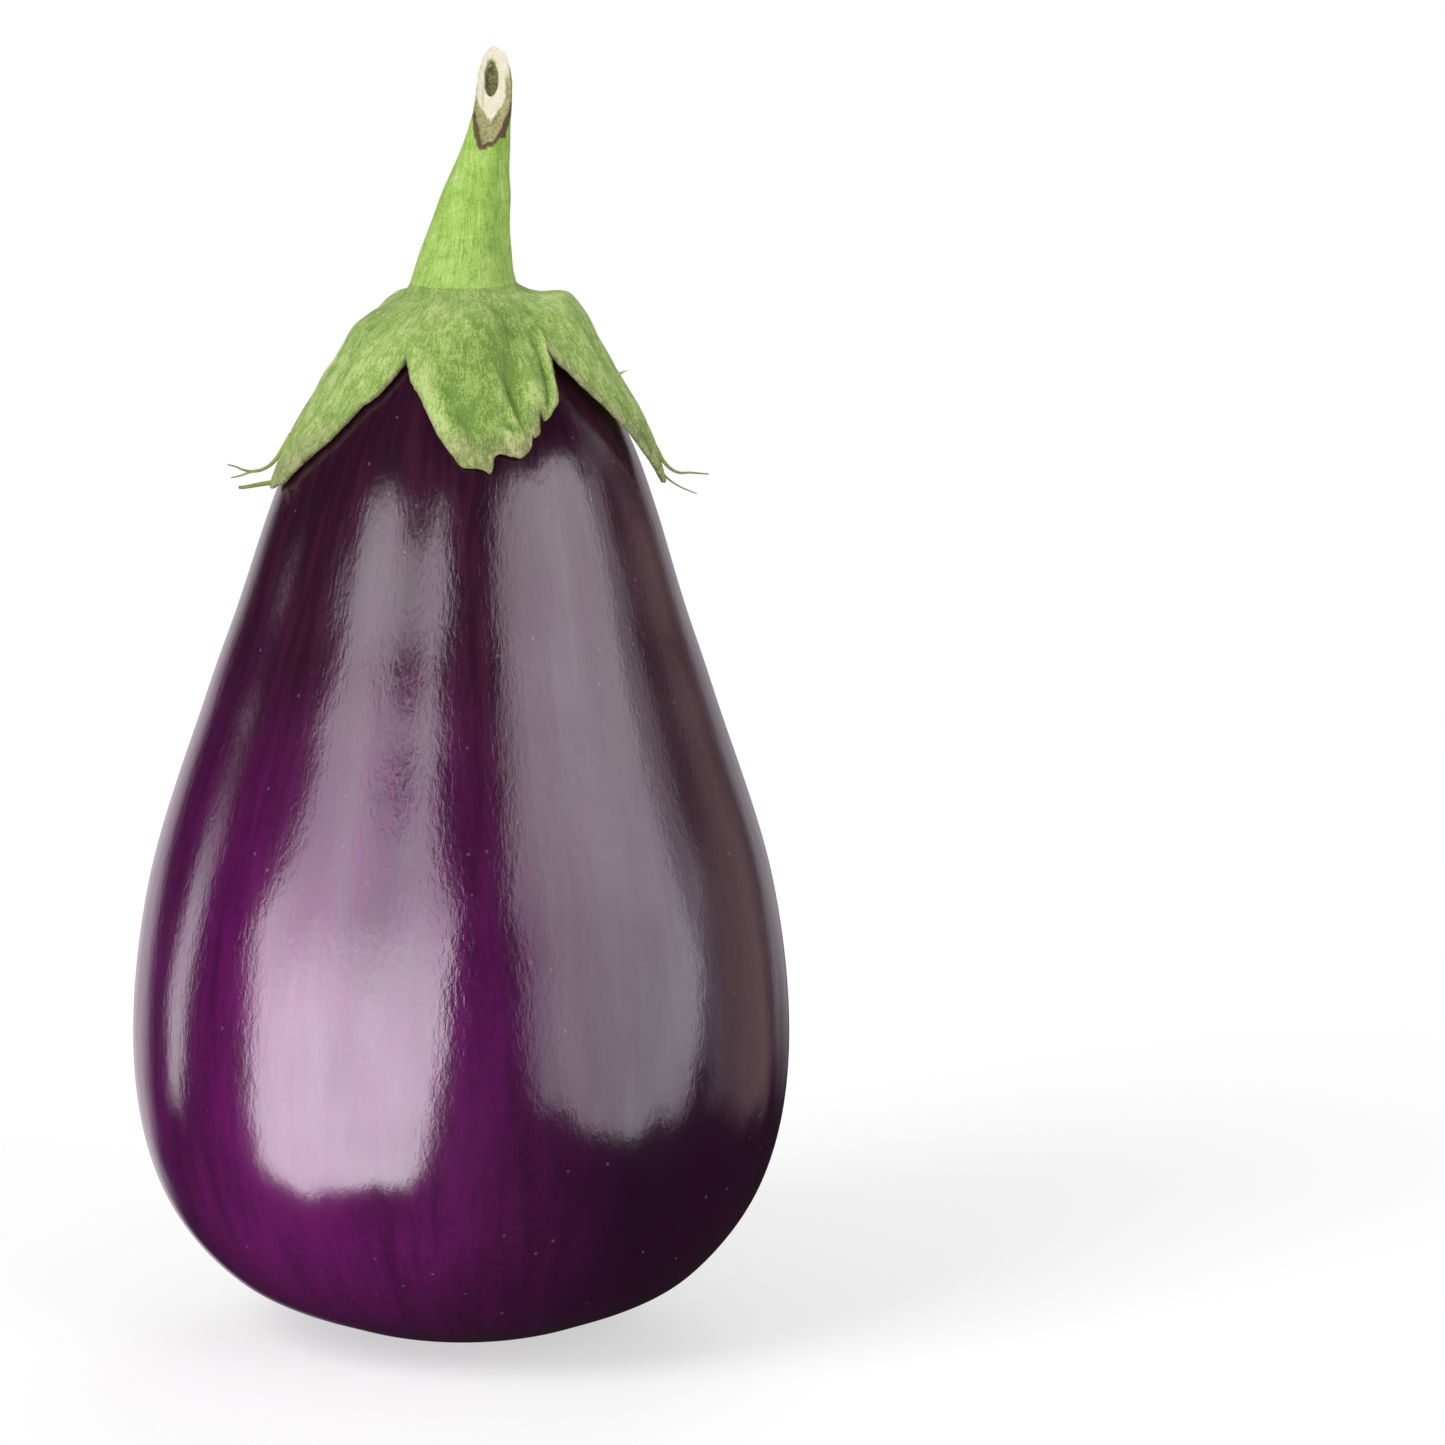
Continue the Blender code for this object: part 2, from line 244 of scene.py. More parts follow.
# Stem: the axis and radius of the frame's stem at each height, all in millimetres.
StemStation = namedtuple("StemStation", "height x y radius")
STEM_STATIONS = (
    StemStation(159.3, 0.3, 0.0, 8.3),
    StemStation(163.0, 0.5, 0.0, 7.2),
    StemStation(168.0, 1.2, 0.0, 6.15),
    StemStation(173.0, 2.2, -0.1, 5.3),
    StemStation(177.0, 2.95, -0.2, 4.3),
    StemStation(181.0, 3.9, -0.3, 3.5),
    StemStation(186.0, 4.8, -0.3, 2.85),
    StemStation(192.0, 5.2, -0.2, 2.6),
    StemStation(201.0, 5.3, 0.0, 2.5),
)
STEM_SEGMENTS = 120
STEM_RINGS = 150
SEAM_HEIGHT = 160.3 * MM
STEM_REACH = 200.0 * MM
# Ribs of the stem: how many go round, their height as a share of its radius, and their turn and twist in
# radians and radians per metre. They grow in above the seam.
STEM_RIBS = ((5, 0.020, 0.7, 0.0), (9, 0.012, -0.4, 60.0))
STEM_RIB_RISE = 10 * MM
KNOTS_ROUND = 3
KNOT_LENGTH = 6 * MM
KNOT_HEIGHT = 0.16 * MM
CUT_PLACE = Vector((4.9, -0.65, 188.4)) * MM
CUT_TILT = math.radians(66.1)
CUT_FACING = Vector((0, -math.sin(CUT_TILT), math.cos(CUT_TILT)))
CUT_UPHILL = Vector((0, math.cos(CUT_TILT), math.sin(CUT_TILT)))
CUT_RINGS = 22
CUT_THRESHOLD = 0.0001 * MM
CUT_TOLERANCE = 0.005 * MM

# Threads drawn out of the lobes' tips: points in millimetres, and the radius at both ends.
Thread = namedtuple("Thread", "points start_radius end_radius")
THREADS = (
    Thread(((-25.2, -5.2, 138.0), (-26.6, -5.1, 135.8), (-27.4, -5.0, 134.6), (-28.6, -5.0, 133.4),
            (-30.0, -5.0, 132.7), (-31.3, -5.0, 132.55), (-32.5, -5.1, 132.8), (-33.6, -5.2, 133.3),
            (-34.8, -5.2, 133.6)), 0.55, 0.10),
    Thread(((-30.4, -5.0, 132.7), (-31.6, -5.0, 132.4), (-32.6, -5.0, 132.0), (-33.5, -5.0, 131.75),
            (-34.3, -5.0, 131.6)), 0.26, 0.09),
    Thread(((-25.6, -4.2, 133.6), (-26.6, -4.6, 131.9), (-27.7, -4.9, 131.0), (-29.4, -5.0, 130.7),
            (-31.3, -5.0, 130.35), (-32.6, -5.0, 130.15), (-33.2, -5.0, 130.15)), 0.62, 0.22),
    Thread(((28.3, -3.2, 137.2), (29.4, -3.0, 135.2), (30.3, -3.0, 133.7), (31.4, -3.0, 132.6),
            (32.7, -3.0, 132.05), (34.1, -3.1, 132.1), (35.6, -3.2, 132.0), (37.0, -3.2, 131.9)), 0.50, 0.10),
    Thread(((28.2, -3.0, 135.6), (29.2, -3.0, 133.6), (29.9, -3.0, 132.2), (31.1, -3.0, 131.0),
            (32.8, -3.0, 129.9), (35.2, -3.0, 128.9)), 0.40, 0.08),
    Thread(((10.6, 24.6, 137.6), (11.4, 26.6, 135.4), (12.3, 28.4, 134.0), (13.8, 30.2, 133.4),
            (15.4, 31.6, 133.6)), 0.45, 0.08),
    Thread(((-17.2, 19.8, 136.6), (-18.8, 21.4, 134.6), (-20.4, 23.0, 133.2), (-21.6, 24.8, 132.6)),
           0.42, 0.09),
)

# Prickles on the calyx: azimuth, millimetres from the crown, length in millimetres, and lean in degrees.
Prickle = namedtuple("Prickle", "azimuth along length lean")
PRICKLES = (
    Prickle(353, 24.2, 2.6, -4),
    Prickle(398, 15.5, 1.6, 12),
    Prickle(415, 19.0, 1.7, -10),
    Prickle(437, 15.0, 1.3, 15),
    Prickle(478, 20.5, 1.6, -12),
    Prickle(503, 16.0, 1.4, 8),
    Prickle(507, 23.0, 1.5, 14),
    Prickle(514, 15.5, 1.1, -9),
)

# Camera: the distance of a tabletop portrait, looking down a little.
CAMERA_PLACE = (39.05 * MM, -1067.3 * MM, 281.8 * MM)
CAMERA_PITCH = math.radians(80)
CAMERA_LENS = 178.95


def eased(value):
    """0 below 0, 1 above 1, and a smooth step between."""
    value = np.clip(value, 0.0, 1.0)
    return value * value * (3 - 2 * value)


def hump(distance, spread):
    return np.exp(-((distance / spread) ** 2))


def smooth_path(points, steps):
    """A Catmull-Rom curve through the rows of an array, with this many steps between each two."""
    points = np.asarray(points, float)
    knots = np.vstack([2 * points[0] - points[1], points, 2 * points[-1] - points[-2]])
    share = np.linspace(0, 1, steps, endpoint=False)[:, None]
    pieces = []
    for before, start, end, after in zip(knots, knots[1:], knots[2:], knots[3:]):
        pieces.append(
            0.5
            * (
                2 * start
                + (end - before) * share
                + (2 * before - 5 * start + 4 * end - after) * share**2
                + (3 * start - before - 3 * end + after) * share**3
            )
        )
    return np.vstack([*pieces, points[-1:]])


def lengths_along(path):
    """The distance from a path's start to each of its points."""
    return np.concatenate([[0.0], np.cumsum(np.linalg.norm(np.diff(path, axis=0), axis=1))])


def noise_at(points, size, seed=0.0):
    """Smooth noise, about -1 to 1, at each point; size is that of its lumps, or one size for each axis."""
    return np.array([noise.noise(Vector(point)) for point in points / np.asarray(size) + seed])


# Each point is (radius, height), from the crown down to the rim of the flat spot.
MERIDIAN = smooth_path([(r * FRUIT_RADIUS, h * FRUIT_HEIGHT) for h, r in FRUIT_OUTLINE], steps=24)
MERIDIAN_LENGTHS = lengths_along(MERIDIAN)
MERIDIAN_SLOPES = np.gradient(MERIDIAN, MERIDIAN_LENGTHS, axis=0)
STEM_LINE = smooth_path(STEM_STATIONS, steps=12) * MM

# Shallow creases in the skin under the calyx: places as azimuth and millimetres from the crown, half
# width in millimetres, and share of the crease depth.
Crease = namedtuple("Crease", "places width share")
CREASES = (
    Crease(((247.6, 36.0), (248.6, 44.0), (249.0, 50.0), (248.4, 56.0)), 0.9, 1.0),
    Crease(((251.0, 42.0), (251.5, 52.0), (253.0, 66.0), (255.0, 84.0)), 1.5, 0.55),
    Crease(((243.0, 46.0), (245.0, 60.0), (247.5, 78.0)), 1.8, -0.7),
    Crease(((236.0, 40.0), (238.0, 50.0), (239.0, 62.0)), 1.6, 0.6),
    Crease(((312.0, 38.0), (311.0, 52.0), (309.0, 70.0)), 2.2, 0.6),
    Crease(((322.0, 34.0), (321.0, 44.0), (319.5, 60.0)), 1.6, -0.5),
)


def lathe_point(azimuth, radius, height):
    """A point of the fruit's turned shape, with its oval section and its bent axis."""
    around = np.radians(azimuth)
    radius = radius * (1 + OVAL_SHARE * np.cos(2 * (around - math.radians(OVAL_AZIMUTH))))
    start, end = NECK_SHIFT_HEIGHTS
    shift = NECK_SHIFT * eased((height - start) / (end - start))
    shift = shift + BELLY_SHIFT * eased(height / BELLY_SHIFT_HEIGHT)
    return np.stack([shift + radius * np.cos(around), radius * np.sin(around), height], -1)


def skin_point(azimuth, along, proud=0.0):
    """The point of the fruit at this azimuth and distance from the crown, or one that stands off it."""
    azimuth, along, proud = np.broadcast_arrays(azimuth, along, proud)
    radius, height, radius_slope, height_slope = (
        np.interp(along, MERIDIAN_LENGTHS, values)
        for values in (*MERIDIAN.T, *MERIDIAN_SLOPES.T)
    )
    return lathe_point(azimuth, radius - proud * height_slope, height + proud * radius_slope)


def flow_vectors(azimuth, along):
    """Coordinates in which a pattern stretched along the third axis runs from the crown down the skin."""
    around = np.radians(azimuth)
    return np.stack([FLOW_RADIUS * np.cos(around), FLOW_RADIUS * np.sin(around), along], -1)


def stem_point(azimuth, height):
    """A point on the side of the stem, with its shallow ribs and knots."""
    azimuth, height = np.broadcast_arrays(azimuth, height)
    around = np.radians(azimuth)
    x, y, radius = (np.interp(height, STEM_LINE[:, 0], values) for values in STEM_LINE[:, 1:].T)
    ribs = sum(
        share * np.cos(count * around + turn + height * twist) for count, share, turn, twist in STEM_RIBS
    )
    points = np.stack([np.cos(around) * KNOTS_ROUND, np.sin(around) * KNOTS_ROUND, height / KNOT_LENGTH], -1)
    knots = noise_at(points.reshape(-1, 3), 1.0, seed=4.0).reshape(height.shape)
    grown = eased((height - SEAM_HEIGHT) / STEM_RIB_RISE)
    radius = radius * (1 + ribs * grown) + KNOT_HEIGHT * knots
    return np.stack([x + radius * np.cos(around), y + radius * np.sin(around), height], -1)


def deselect_all():
    if bpy.context.mode != "OBJECT":
        bpy.ops.object.mode_set(mode="OBJECT")
    bpy.ops.object.select_all(action="DESELECT")


def start_piece(name):
    """Names the primitive that was just added, and returns it."""
    thing = bpy.context.object
    thing.name = thing.data.name = name
    return thing


def read_points(mesh):
    points = np.empty(len(mesh.vertices) * 3, np.float32)
    mesh.vertices.foreach_get("co", points)
    return points.reshape(-1, 3).astype(float)


def write_points(mesh, points):
    mesh.vertices.foreach_set("co", points.astype(np.float32).ravel())
    mesh.update()


def write_attribute(mesh, name, values):
    """A number, or a vector, for each point of the mesh."""
    kind, field = ("FLOAT", "value") if values.ndim == 1 else ("FLOAT_VECTOR", "vector")
    attribute = mesh.attributes.new(name, kind, "POINT")
    attribute.data.foreach_set(field, values.astype(np.float32).ravel())


def select_only(mesh, kind, chosen):
    """Selects these vertices, edges or faces (kind is VERT, EDGE or FACE) and nothing else, in edit mode."""
    if bpy.context.mode != "OBJECT":
        bpy.ops.object.mode_set(mode="OBJECT")
    bpy.context.tool_settings.mesh_select_mode = (kind == "VERT", kind == "EDGE", kind == "FACE")
    for elements in (mesh.vertices, mesh.edges, mesh.polygons):
        elements.foreach_set("select", np.zeros(len(elements), bool))
    elements = {"VERT": mesh.vertices, "EDGE": mesh.edges, "FACE": mesh.polygons}[kind]
    elements.foreach_set("select", chosen)
    bpy.ops.object.mode_set(mode="EDIT")


def close_shell(merge_distance):
    """Merges the doubles of the piece in edit mode, turns its faces outwards and leaves edit mode."""
    bpy.ops.mesh.select_all(action="SELECT")
    bpy.ops.mesh.remove_doubles(threshold=merge_distance)
    bpy.ops.mesh.normals_make_consistent(inside=False)
    bpy.ops.object.mode_set(mode="OBJECT")


def finish_piece(thing, material, slot, *nodes, sharp_angle=50):
    """Shades a piece, gives it its material, and ties it to the frame."""
    deselect_all()
    thing.select_set(True)
    bpy.context.view_layer.objects.active = thing
    bpy.ops.object.shade_smooth_by_angle(angle=math.radians(sharp_angle))
    thing.data.materials.clear()
    thing.data.materials.append(material)
    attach(thing, "root")
    if nodes:
        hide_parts(*nodes)
    deselect_all()


def join_pieces(things, name):
    """Joins these meshes into one piece."""
    deselect_all()
    for thing in things:
        thing.select_set(True)
    bpy.context.view_layer.objects.active = things[0]
    bpy.ops.object.join()
    return start_piece(name)


def nearest_on_line(points, line):
    """Each point's distance to a line, and the share of the line's length where it is nearest."""
    whole = lengths_along(line)
    best = np.full(len(points), np.inf)
    share = np.zeros(len(points))
    for start, end, before in zip(line, line[1:], whole):
        step = end - start
        place = np.clip((points - start) @ step / (step @ step), 0, 1)
        distance = np.linalg.norm(points - start - place[:, None] * step, axis=1)
        nearer = distance < best
        best[nearer] = distance[nearer]
        share[nearer] = (before + place[nearer] * math.sqrt(step @ step)) / whole[-1]
    return best, share


class ShaderTree:
    """Adds nodes to a shader tree. A value given as a socket is linked, and any other is set."""

    def __init__(self, tree):
        self.tree = tree

    def put(self, socket, value):
        if isinstance(value, bpy.types.NodeSocket):
            self.tree.links.new(value, socket)
        elif socket.type == "RGBA" and len(value) == 3:
            socket.default_value = (*value, 1)
        else:
            socket.default_value = value

    def fill(self, node, inputs):
        """Puts a value in each of these inputs, which are given by name or number."""
        for name, value in dict(inputs).items():
            self.put(node.inputs[name], value)
        return node

    def add(self, kind, inputs=(), **settings):
        node = self.tree.nodes.new("ShaderNode" + kind)
        for name, value in settings.items():
            setattr(node, name, value)
        return self.fill(node, inputs)

    def add_io(self, side):
        """The node that brings values into a group, or takes them out of it."""
        return self.tree.nodes.new("NodeGroup" + side)

    def math(self, operation, *values, clamp=False):
        node = self.add("Math", enumerate(values), operation=operation, use_clamp=clamp)
        return node.outputs[0]

    def times(self, first, second, clamp=False):
        return self.math("MULTIPLY", first, second, clamp=clamp)

    def weigh(self, *terms):
        """The sum of these values, each times its weight."""
        total = 0.0
        for value, weight in terms:
            total = self.math("MULTIPLY_ADD", value, weight, total)
        return total

    def vector_math(self, operation, *values):
        return self.add("VectorMath", enumerate(values), operation=operation).outputs[0]

    def mix(self, factor, first, second):
        """A colour between two others."""
        return self.add("Mix", {0: factor, 6: first, 7: second}, data_type="RGBA").outputs[2]

    def mix_numbers(self, factor, first, second):
        return self.add("Mix", {0: factor, 2: first, 3: second}, data_type="FLOAT").outputs[0]

    def spread(self, value, low, high, to_low=0.0, to_high=1.0, kind="SMOOTHSTEP"):
        """Takes low..high to to_low..to_high, with soft ends unless kind is LINEAR."""
        inputs = {"Value": value, "From Min": low, "From Max": high, "To Min": to_low, "To Max": to_high}
        return self.add("MapRange", inputs, interpolation_type=kind).outputs[0]

    def ramp(self, value, low, high, to_low, to_high):
        return self.spread(value, low, high, to_low, to_high, "LINEAR")

    def attribute(self, name, output="Fac"):
        return self.add("Attribute", attribute_name=name).outputs[output]

    def noise(self, vector, scale, detail=2.0, roughness=0.5, distortion=0.0):
        inputs = {"Vector": vector, "Scale": scale, "Detail": detail, "Roughness": roughness}
        inputs["Distortion"] = distortion
        return self.add("TexNoise", inputs).outputs["Fac"]

    def group(self, group, **inputs):
        """Places a node group; an input's name is written with underscores for spaces."""
        named = {name.replace("_", " ").title(): value for name, value in inputs.items()}
        return self.add("Group", named, node_tree=group)


def new_group(name, inputs, outputs):
    """An empty shader node group, and its tree helper and its inner input and output nodes."""
    group = bpy.data.node_groups.new(name, "ShaderNodeTree")
    for in_out, sockets in (("INPUT", inputs), ("OUTPUT", outputs)):
        for socket, kind in sockets.items():
            group.interface.new_socket(name=socket, in_out=in_out, socket_type="NodeSocket" + kind)
    tree = ShaderTree(group)
    return group, tree, tree.add_io("Input"), tree.add_io("Output")


def new_material(name):
    """A material, its tree helper and its Principled shader."""
    material = bpy.data.materials.new(name)
    material.use_nodes = True
    shader = material.node_tree.nodes["Principled BSDF"]
    return material, ShaderTree(material.node_tree), shader


def dimmed(colour, share):
    """A colour times this share."""
    return tuple(share * c for c in colour)


def add_bump(tree, shader, height, distance, socket="Normal", strength=1.0):
    """Drives a shader's normal, or the one named, from this height."""
    bump = tree.add("Bump", {"Height": height, "Strength": strength, "Distance": distance})
    tree.put(shader.inputs[socket], bump.outputs[0])


def streak_group():
    """Noise drawn out along the growth, from the flow attribute."""
    if "Growth Streaks" in bpy.data.node_groups:
        return bpy.data.node_groups["Growth Streaks"]
    group, tree, given, result = new_group(
        "Growth Streaks",
        {"Width": "Float", "Length": "Float", "Detail": "Float", "Wander": "Float"},
        {"Value": "Float"},
    )
    across = tree.math("DIVIDE", 1.0, given.outputs["Width"])
    down = tree.math("DIVIDE", 1.0, given.outputs["Length"])
    scales = tree.add("CombineXYZ", {"X": across, "Y": across, "Z": down}).outputs[0]
    place = tree.vector_math("MULTIPLY", tree.attribute("flow", "Vector"), scales)
    value = tree.noise(place, 1.0, given.outputs["Detail"], 0.55, given.outputs["Wander"])
    tree.put(result.inputs["Value"], value)
    return group


def felt_group():
    """The short matted hairs of the green parts: a colour mask, about 0 to 1, and a bump height."""
    if "Matted Felt" in bpy.data.node_groups:
        return bpy.data.node_groups["Matted Felt"]
    group, tree, given, result = new_group(
        "Matted Felt",
        {"Hair Width": "Float", "Hair Length": "Float", "Patch Size": "Float"},
        {"Mottle": "Float", "Height": "Float"},
    )
    hairs = tree.group(
        streak_group(), width=given.outputs["Hair Width"], length=given.outputs["Hair Length"],
        detail=3.0, wander=1.4,
    ).outputs[0]
    place = tree.add("TexCoord").outputs["Object"]
    per_patch = tree.math("DIVIDE", 1.0, given.outputs["Patch Size"])
    patches = tree.noise(place, per_patch, 4.0, 0.6, 0.7)
    grain = tree.noise(place, 3600.0, 2.0, 0.6)
    mottle = tree.weigh(
        (tree.ramp(hairs, 0.30, 0.70, 0.0, 0.42), 1.0),
        (tree.ramp(patches, 0.32, 0.68, 0.0, 0.36), 1.0),
        (tree.ramp(grain, 0.30, 0.70, -0.06, 0.28), 1.0),
    )
    tree.fill(result, {"Mottle": mottle, "Height": tree.weigh((hairs, 0.6), (grain, 0.4))})
    return group


def length_setting(name, description, default, precision=5):
    return FloatProperty(
        name=name, description=description, default=default, unit="LENGTH", precision=precision
    )


def colour_setting(name, description, default):
    return FloatVectorProperty(name=name, description=description, default=default, subtype="COLOR")


class EggplantFruitSettings(bpy.types.PropertyGroup):
    lump_height: length_setting(
        "Lump height", "How far the skin strays from the turned shape", 0.05 * MM
    )
    crease_depth: length_setting(
        "Crease depth", "Depth of the shallow creases under the calyx", 0.055 * MM
    )
    ripple_height: length_setting(
        "Ripple height", "Depth of the fine ripples that fray the reflections", 0.045 * MM, precision=6
    )
    neck_colour: colour_setting("Neck", "Maroon black skin under the calyx", (0.046, 0.008, 0.026))
    # Dark skin is painted shade on the right side and the base, and purple skin is the purple with painted
    # light on the left side.
    shaded_side_colour: colour_setting(
        "Dark skin", "Skin of the shaded side and the base", (0.016, 0.0026, 0.013)
    )
    lit_purple_colour: colour_setting(
        "Purple skin", "Skin of the belly and the left side", (0.125, 0.007, 0.102)
    )
    speck_colour: colour_setting("Specks", "Pale lenticel specks", (0.20, 0.13, 0.19))
    cork_colour: colour_setting("Scar", "Corky scar on the blossom end", (0.17, 0.105, 0.055))


class EggplantCalyxSettings(bpy.types.PropertyGroup):
    rim_thickness: length_setting("Rim thickness", "Thickness of the lobes at their rim", 0.9 * MM)
    fold_scale: FloatProperty(
        name="Fold height", description="Scales the height of the ribs and folds",
        default=1.0, min=0.0, max=2.0,
    )
    # Ridges is the pale felt and painted light on the ribs; Valleys is the dark felt and painted shade in the
    # folds.
    pale_felt_and_lit_rib_colour: colour_setting("Ridges", "Green of ribs and raised margins", (0.56, 0.70, 0.25))
    leaf_colour: colour_setting("Leaf", "Main green of the calyx", (0.335, 0.500, 0.118))
    dark_felt_and_shaded_fold_colour: colour_setting("Valleys", "Green down in the folds", (0.185, 0.310, 0.062))
    dry_colour: colour_setting("Dry margin", "Tan of the dried margins", (0.50, 0.47, 0.24))
    brown_colour: colour_setting("Brown specks", "Withered specks at the rim", (0.10, 0.075, 0.03))


class EggplantStemSettings(bpy.types.PropertyGroup):
    skin_colour: colour_setting("Stem", "Green of the stem", (0.345, 0.560, 0.105))
    cream_colour: colour_setting("Cut wood", "Pale wood of the cut", (0.86, 0.80, 0.62))
    pith_colour: colour_setting("Pith", "Sunken pith in the cut", (0.27, 0.25, 0.12))
    bark_colour: colour_setting("Bark", "Dried rind round the cut", (0.43, 0.41, 0.19))
    burn_colour: colour_setting("Cut edge", "Browned edge of the cut", (0.115, 0.078, 0.040))


class EggplantThreadSettings(bpy.types.PropertyGroup):
    thickness: FloatProperty(
        name="Thread thickness", description="Scales the threads' thickness", default=1.0, min=0.2, max=3.0,
    )
    prickle_radius: length_setting("Prickle radius", "Radius of a prickle's foot", 0.70 * MM)
    thread_colour: colour_setting("Threads", "Green of the threads", (0.30, 0.42, 0.10))
    thread_tip: colour_setting("Thread tips", "Dry ends of the threads", (0.24, 0.21, 0.08))
    prickle_colour: colour_setting("Prickles", "Pale green of the prickles", (0.45, 0.56, 0.20))
    prickle_tip: colour_setting("Prickle tips", "Straw colour of their tips", (0.50, 0.50, 0.24))


class EggplantStageSettings(bpy.types.PropertyGroup):
    floor_radius: FloatProperty(
        name="Floor radius", description="Where the floor has faded out", default=0.62, unit="LENGTH",
    )
    floor_colour: colour_setting("Floor", "Pale tabletop", (0.50, 0.50, 0.50))
    floor_glow: FloatProperty(
        name="Floor glow", description="Light that the tabletop gives off, which keeps shadows faint",
        default=0.55, min=0.0,
    )
    key_power: FloatProperty(
        name="Key power", description="Power of the soft key light on the left", default=7.2, unit="POWER",
    )
    fill_power: FloatProperty(
        name="Fill power", description="Power of the soft fill lights on the right and behind",
        default=3.0, unit="POWER",
    )
    room_light: FloatProperty(
        name="Room light", description="Even light from all round", default=0.42, min=0.0,
    )
    softbox_light: FloatProperty(
        name="Softbox light", description="Brightness of the soft boxes that the skin mirrors",
        default=5.6, min=0.0,
    )


def purple_skin(settings):
    """Glossy skin: maroon black at the neck, purple on the belly with painted light on its left and painted
    shade on its right and base, with streaks, specks and fine ripples.
    """
    material, tree, shader = new_material("eggplant_skin")
    streaks = streak_group()
    place = tree.add("TexCoord").outputs["Object"]
    parts = tree.add("SeparateXYZ", {"Vector": place})
    lengthways = tree.math("DIVIDE", parts.outputs["Z"], FRUIT_HEIGHT)
    sideways = tree.math("DIVIDE", parts.outputs["X"], FRUIT_RADIUS)
    wide = tree.group(streaks, width=8 * MM, length=45 * MM, detail=3.0, wander=0.4).outputs[0]
    fine = tree.group(streaks, width=1.1 * MM, length=16 * MM, detail=4.0, wander=0.3).outputs[0]
    # Painted light and shade over the skin's own streaky purple: the purple is lit strongest left of the
    # middle, and painted shade darkens it towards the right side, the far left edge and the very base; it
    # fades towards the neck too.
    lit_left_side = tree.ramp(sideways, -0.36, 0.52, 1.0, 0.04)
    lit_left_side = tree.times(lit_left_side, tree.spread(sideways, -0.90, -0.40, 0.58, 1.0))
    base_shade = tree.spread(lengthways, 0.0, 0.18, 0.24, 1.0)
    grain = tree.noise(place, 800.0, 3.0, 0.6)
    uneven = tree.weigh((wide, 0.7), (fine, 0.8), (grain, 0.4))
    uneven = tree.ramp(uneven, 0.65, 1.25, 0.40, 1.55)
    painted_light_blush = tree.times(tree.times(lit_left_side, base_shade), uneven, clamp=True)
    # Painted light on the left and painted shade on the right and the base: the lit purple and the shaded
    # dark skin, mixed by the lit side.
    colour = tree.mix(painted_light_blush, settings.shaded_side_colour, settings.lit_purple_colour)
    neck = tree.math("ADD", lengthways, tree.ramp(wide, 0.3, 0.7, -0.08, 0.08))
    neck_colour = tree.mix(
        tree.spread(fine, 0.40, 0.68), dimmed(settings.neck_colour, 0.55), settings.neck_colour
    )
    colour = tree.mix(tree.spread(neck, 0.40, 0.80), colour, neck_colour)
    # Pale lenticel specks, far apart.
    cells = tree.add("TexVoronoi", {"Vector": place, "Scale": 420.0, "Randomness": 1.0})
    chosen = tree.spread(cells.outputs["Color"], 0.72, 0.74)
    speck = tree.times(tree.spread(cells.outputs["Distance"], 0.06, 0.15, 1.0, 0.0), chosen)
    colour = tree.mix(tree.times(speck, 0.45), colour, settings.speck_colour)
    scar = tree.attribute("scar")
    cork = tree.mix(tree.noise(place, 900.0, 4.0, 0.6), settings.cork_colour, (0.06, 0.035, 0.02))
    roughness = tree.ramp(wide, 0.3, 0.7, 0.11, 0.16)
    roughness = tree.math("ADD", roughness, tree.times(scar, 0.55), clamp=True)
    bloom = tree.ramp(tree.weigh((fine, 1.0), (wide, 0.5)), 0.5, 1.0, 1.0, 0.84)
    coat = tree.math("SUBTRACT", bloom, tree.times(scar, 0.75), clamp=True)
    # The pigment is matt, and a clear layer of wax over it carries the ripples and the reflections.
    tree.fill(shader, {
        "Base Color": tree.mix(scar, colour, cork), "Roughness": 0.7, "Specular IOR Level": 0.0,
        "Coat Weight": coat, "Coat Roughness": roughness, "Coat IOR": 1.8,
    })
    # Broad ripples, fine fibres and pores, all drawn out down the skin and stretched smooth on the belly.
    ripples = tree.group(streaks, width=2.2 * MM, length=9 * MM, detail=2.0, wander=1.0).outputs[0]
    fibres = tree.group(streaks, width=0.36 * MM, length=1.9 * MM, detail=3.0, wander=0.6).outputs[0]
    pores = tree.noise(place, 2300.0, 2.0, 0.5)
    height = tree.weigh((ripples, 0.8), (fibres, 0.72), (pores, 0.015), (speck, -0.15))
    height = tree.times(height, tree.spread(lengthways, 0.02, 0.42, 0.12, 1.0))
    rough_scar = tree.times(tree.times(scar, cells.outputs["Distance"]), 6.0)
    height = tree.math("ADD", height, rough_scar)
    add_bump(tree, shader, height, settings.ripple_height, "Coat Normal")
    return material


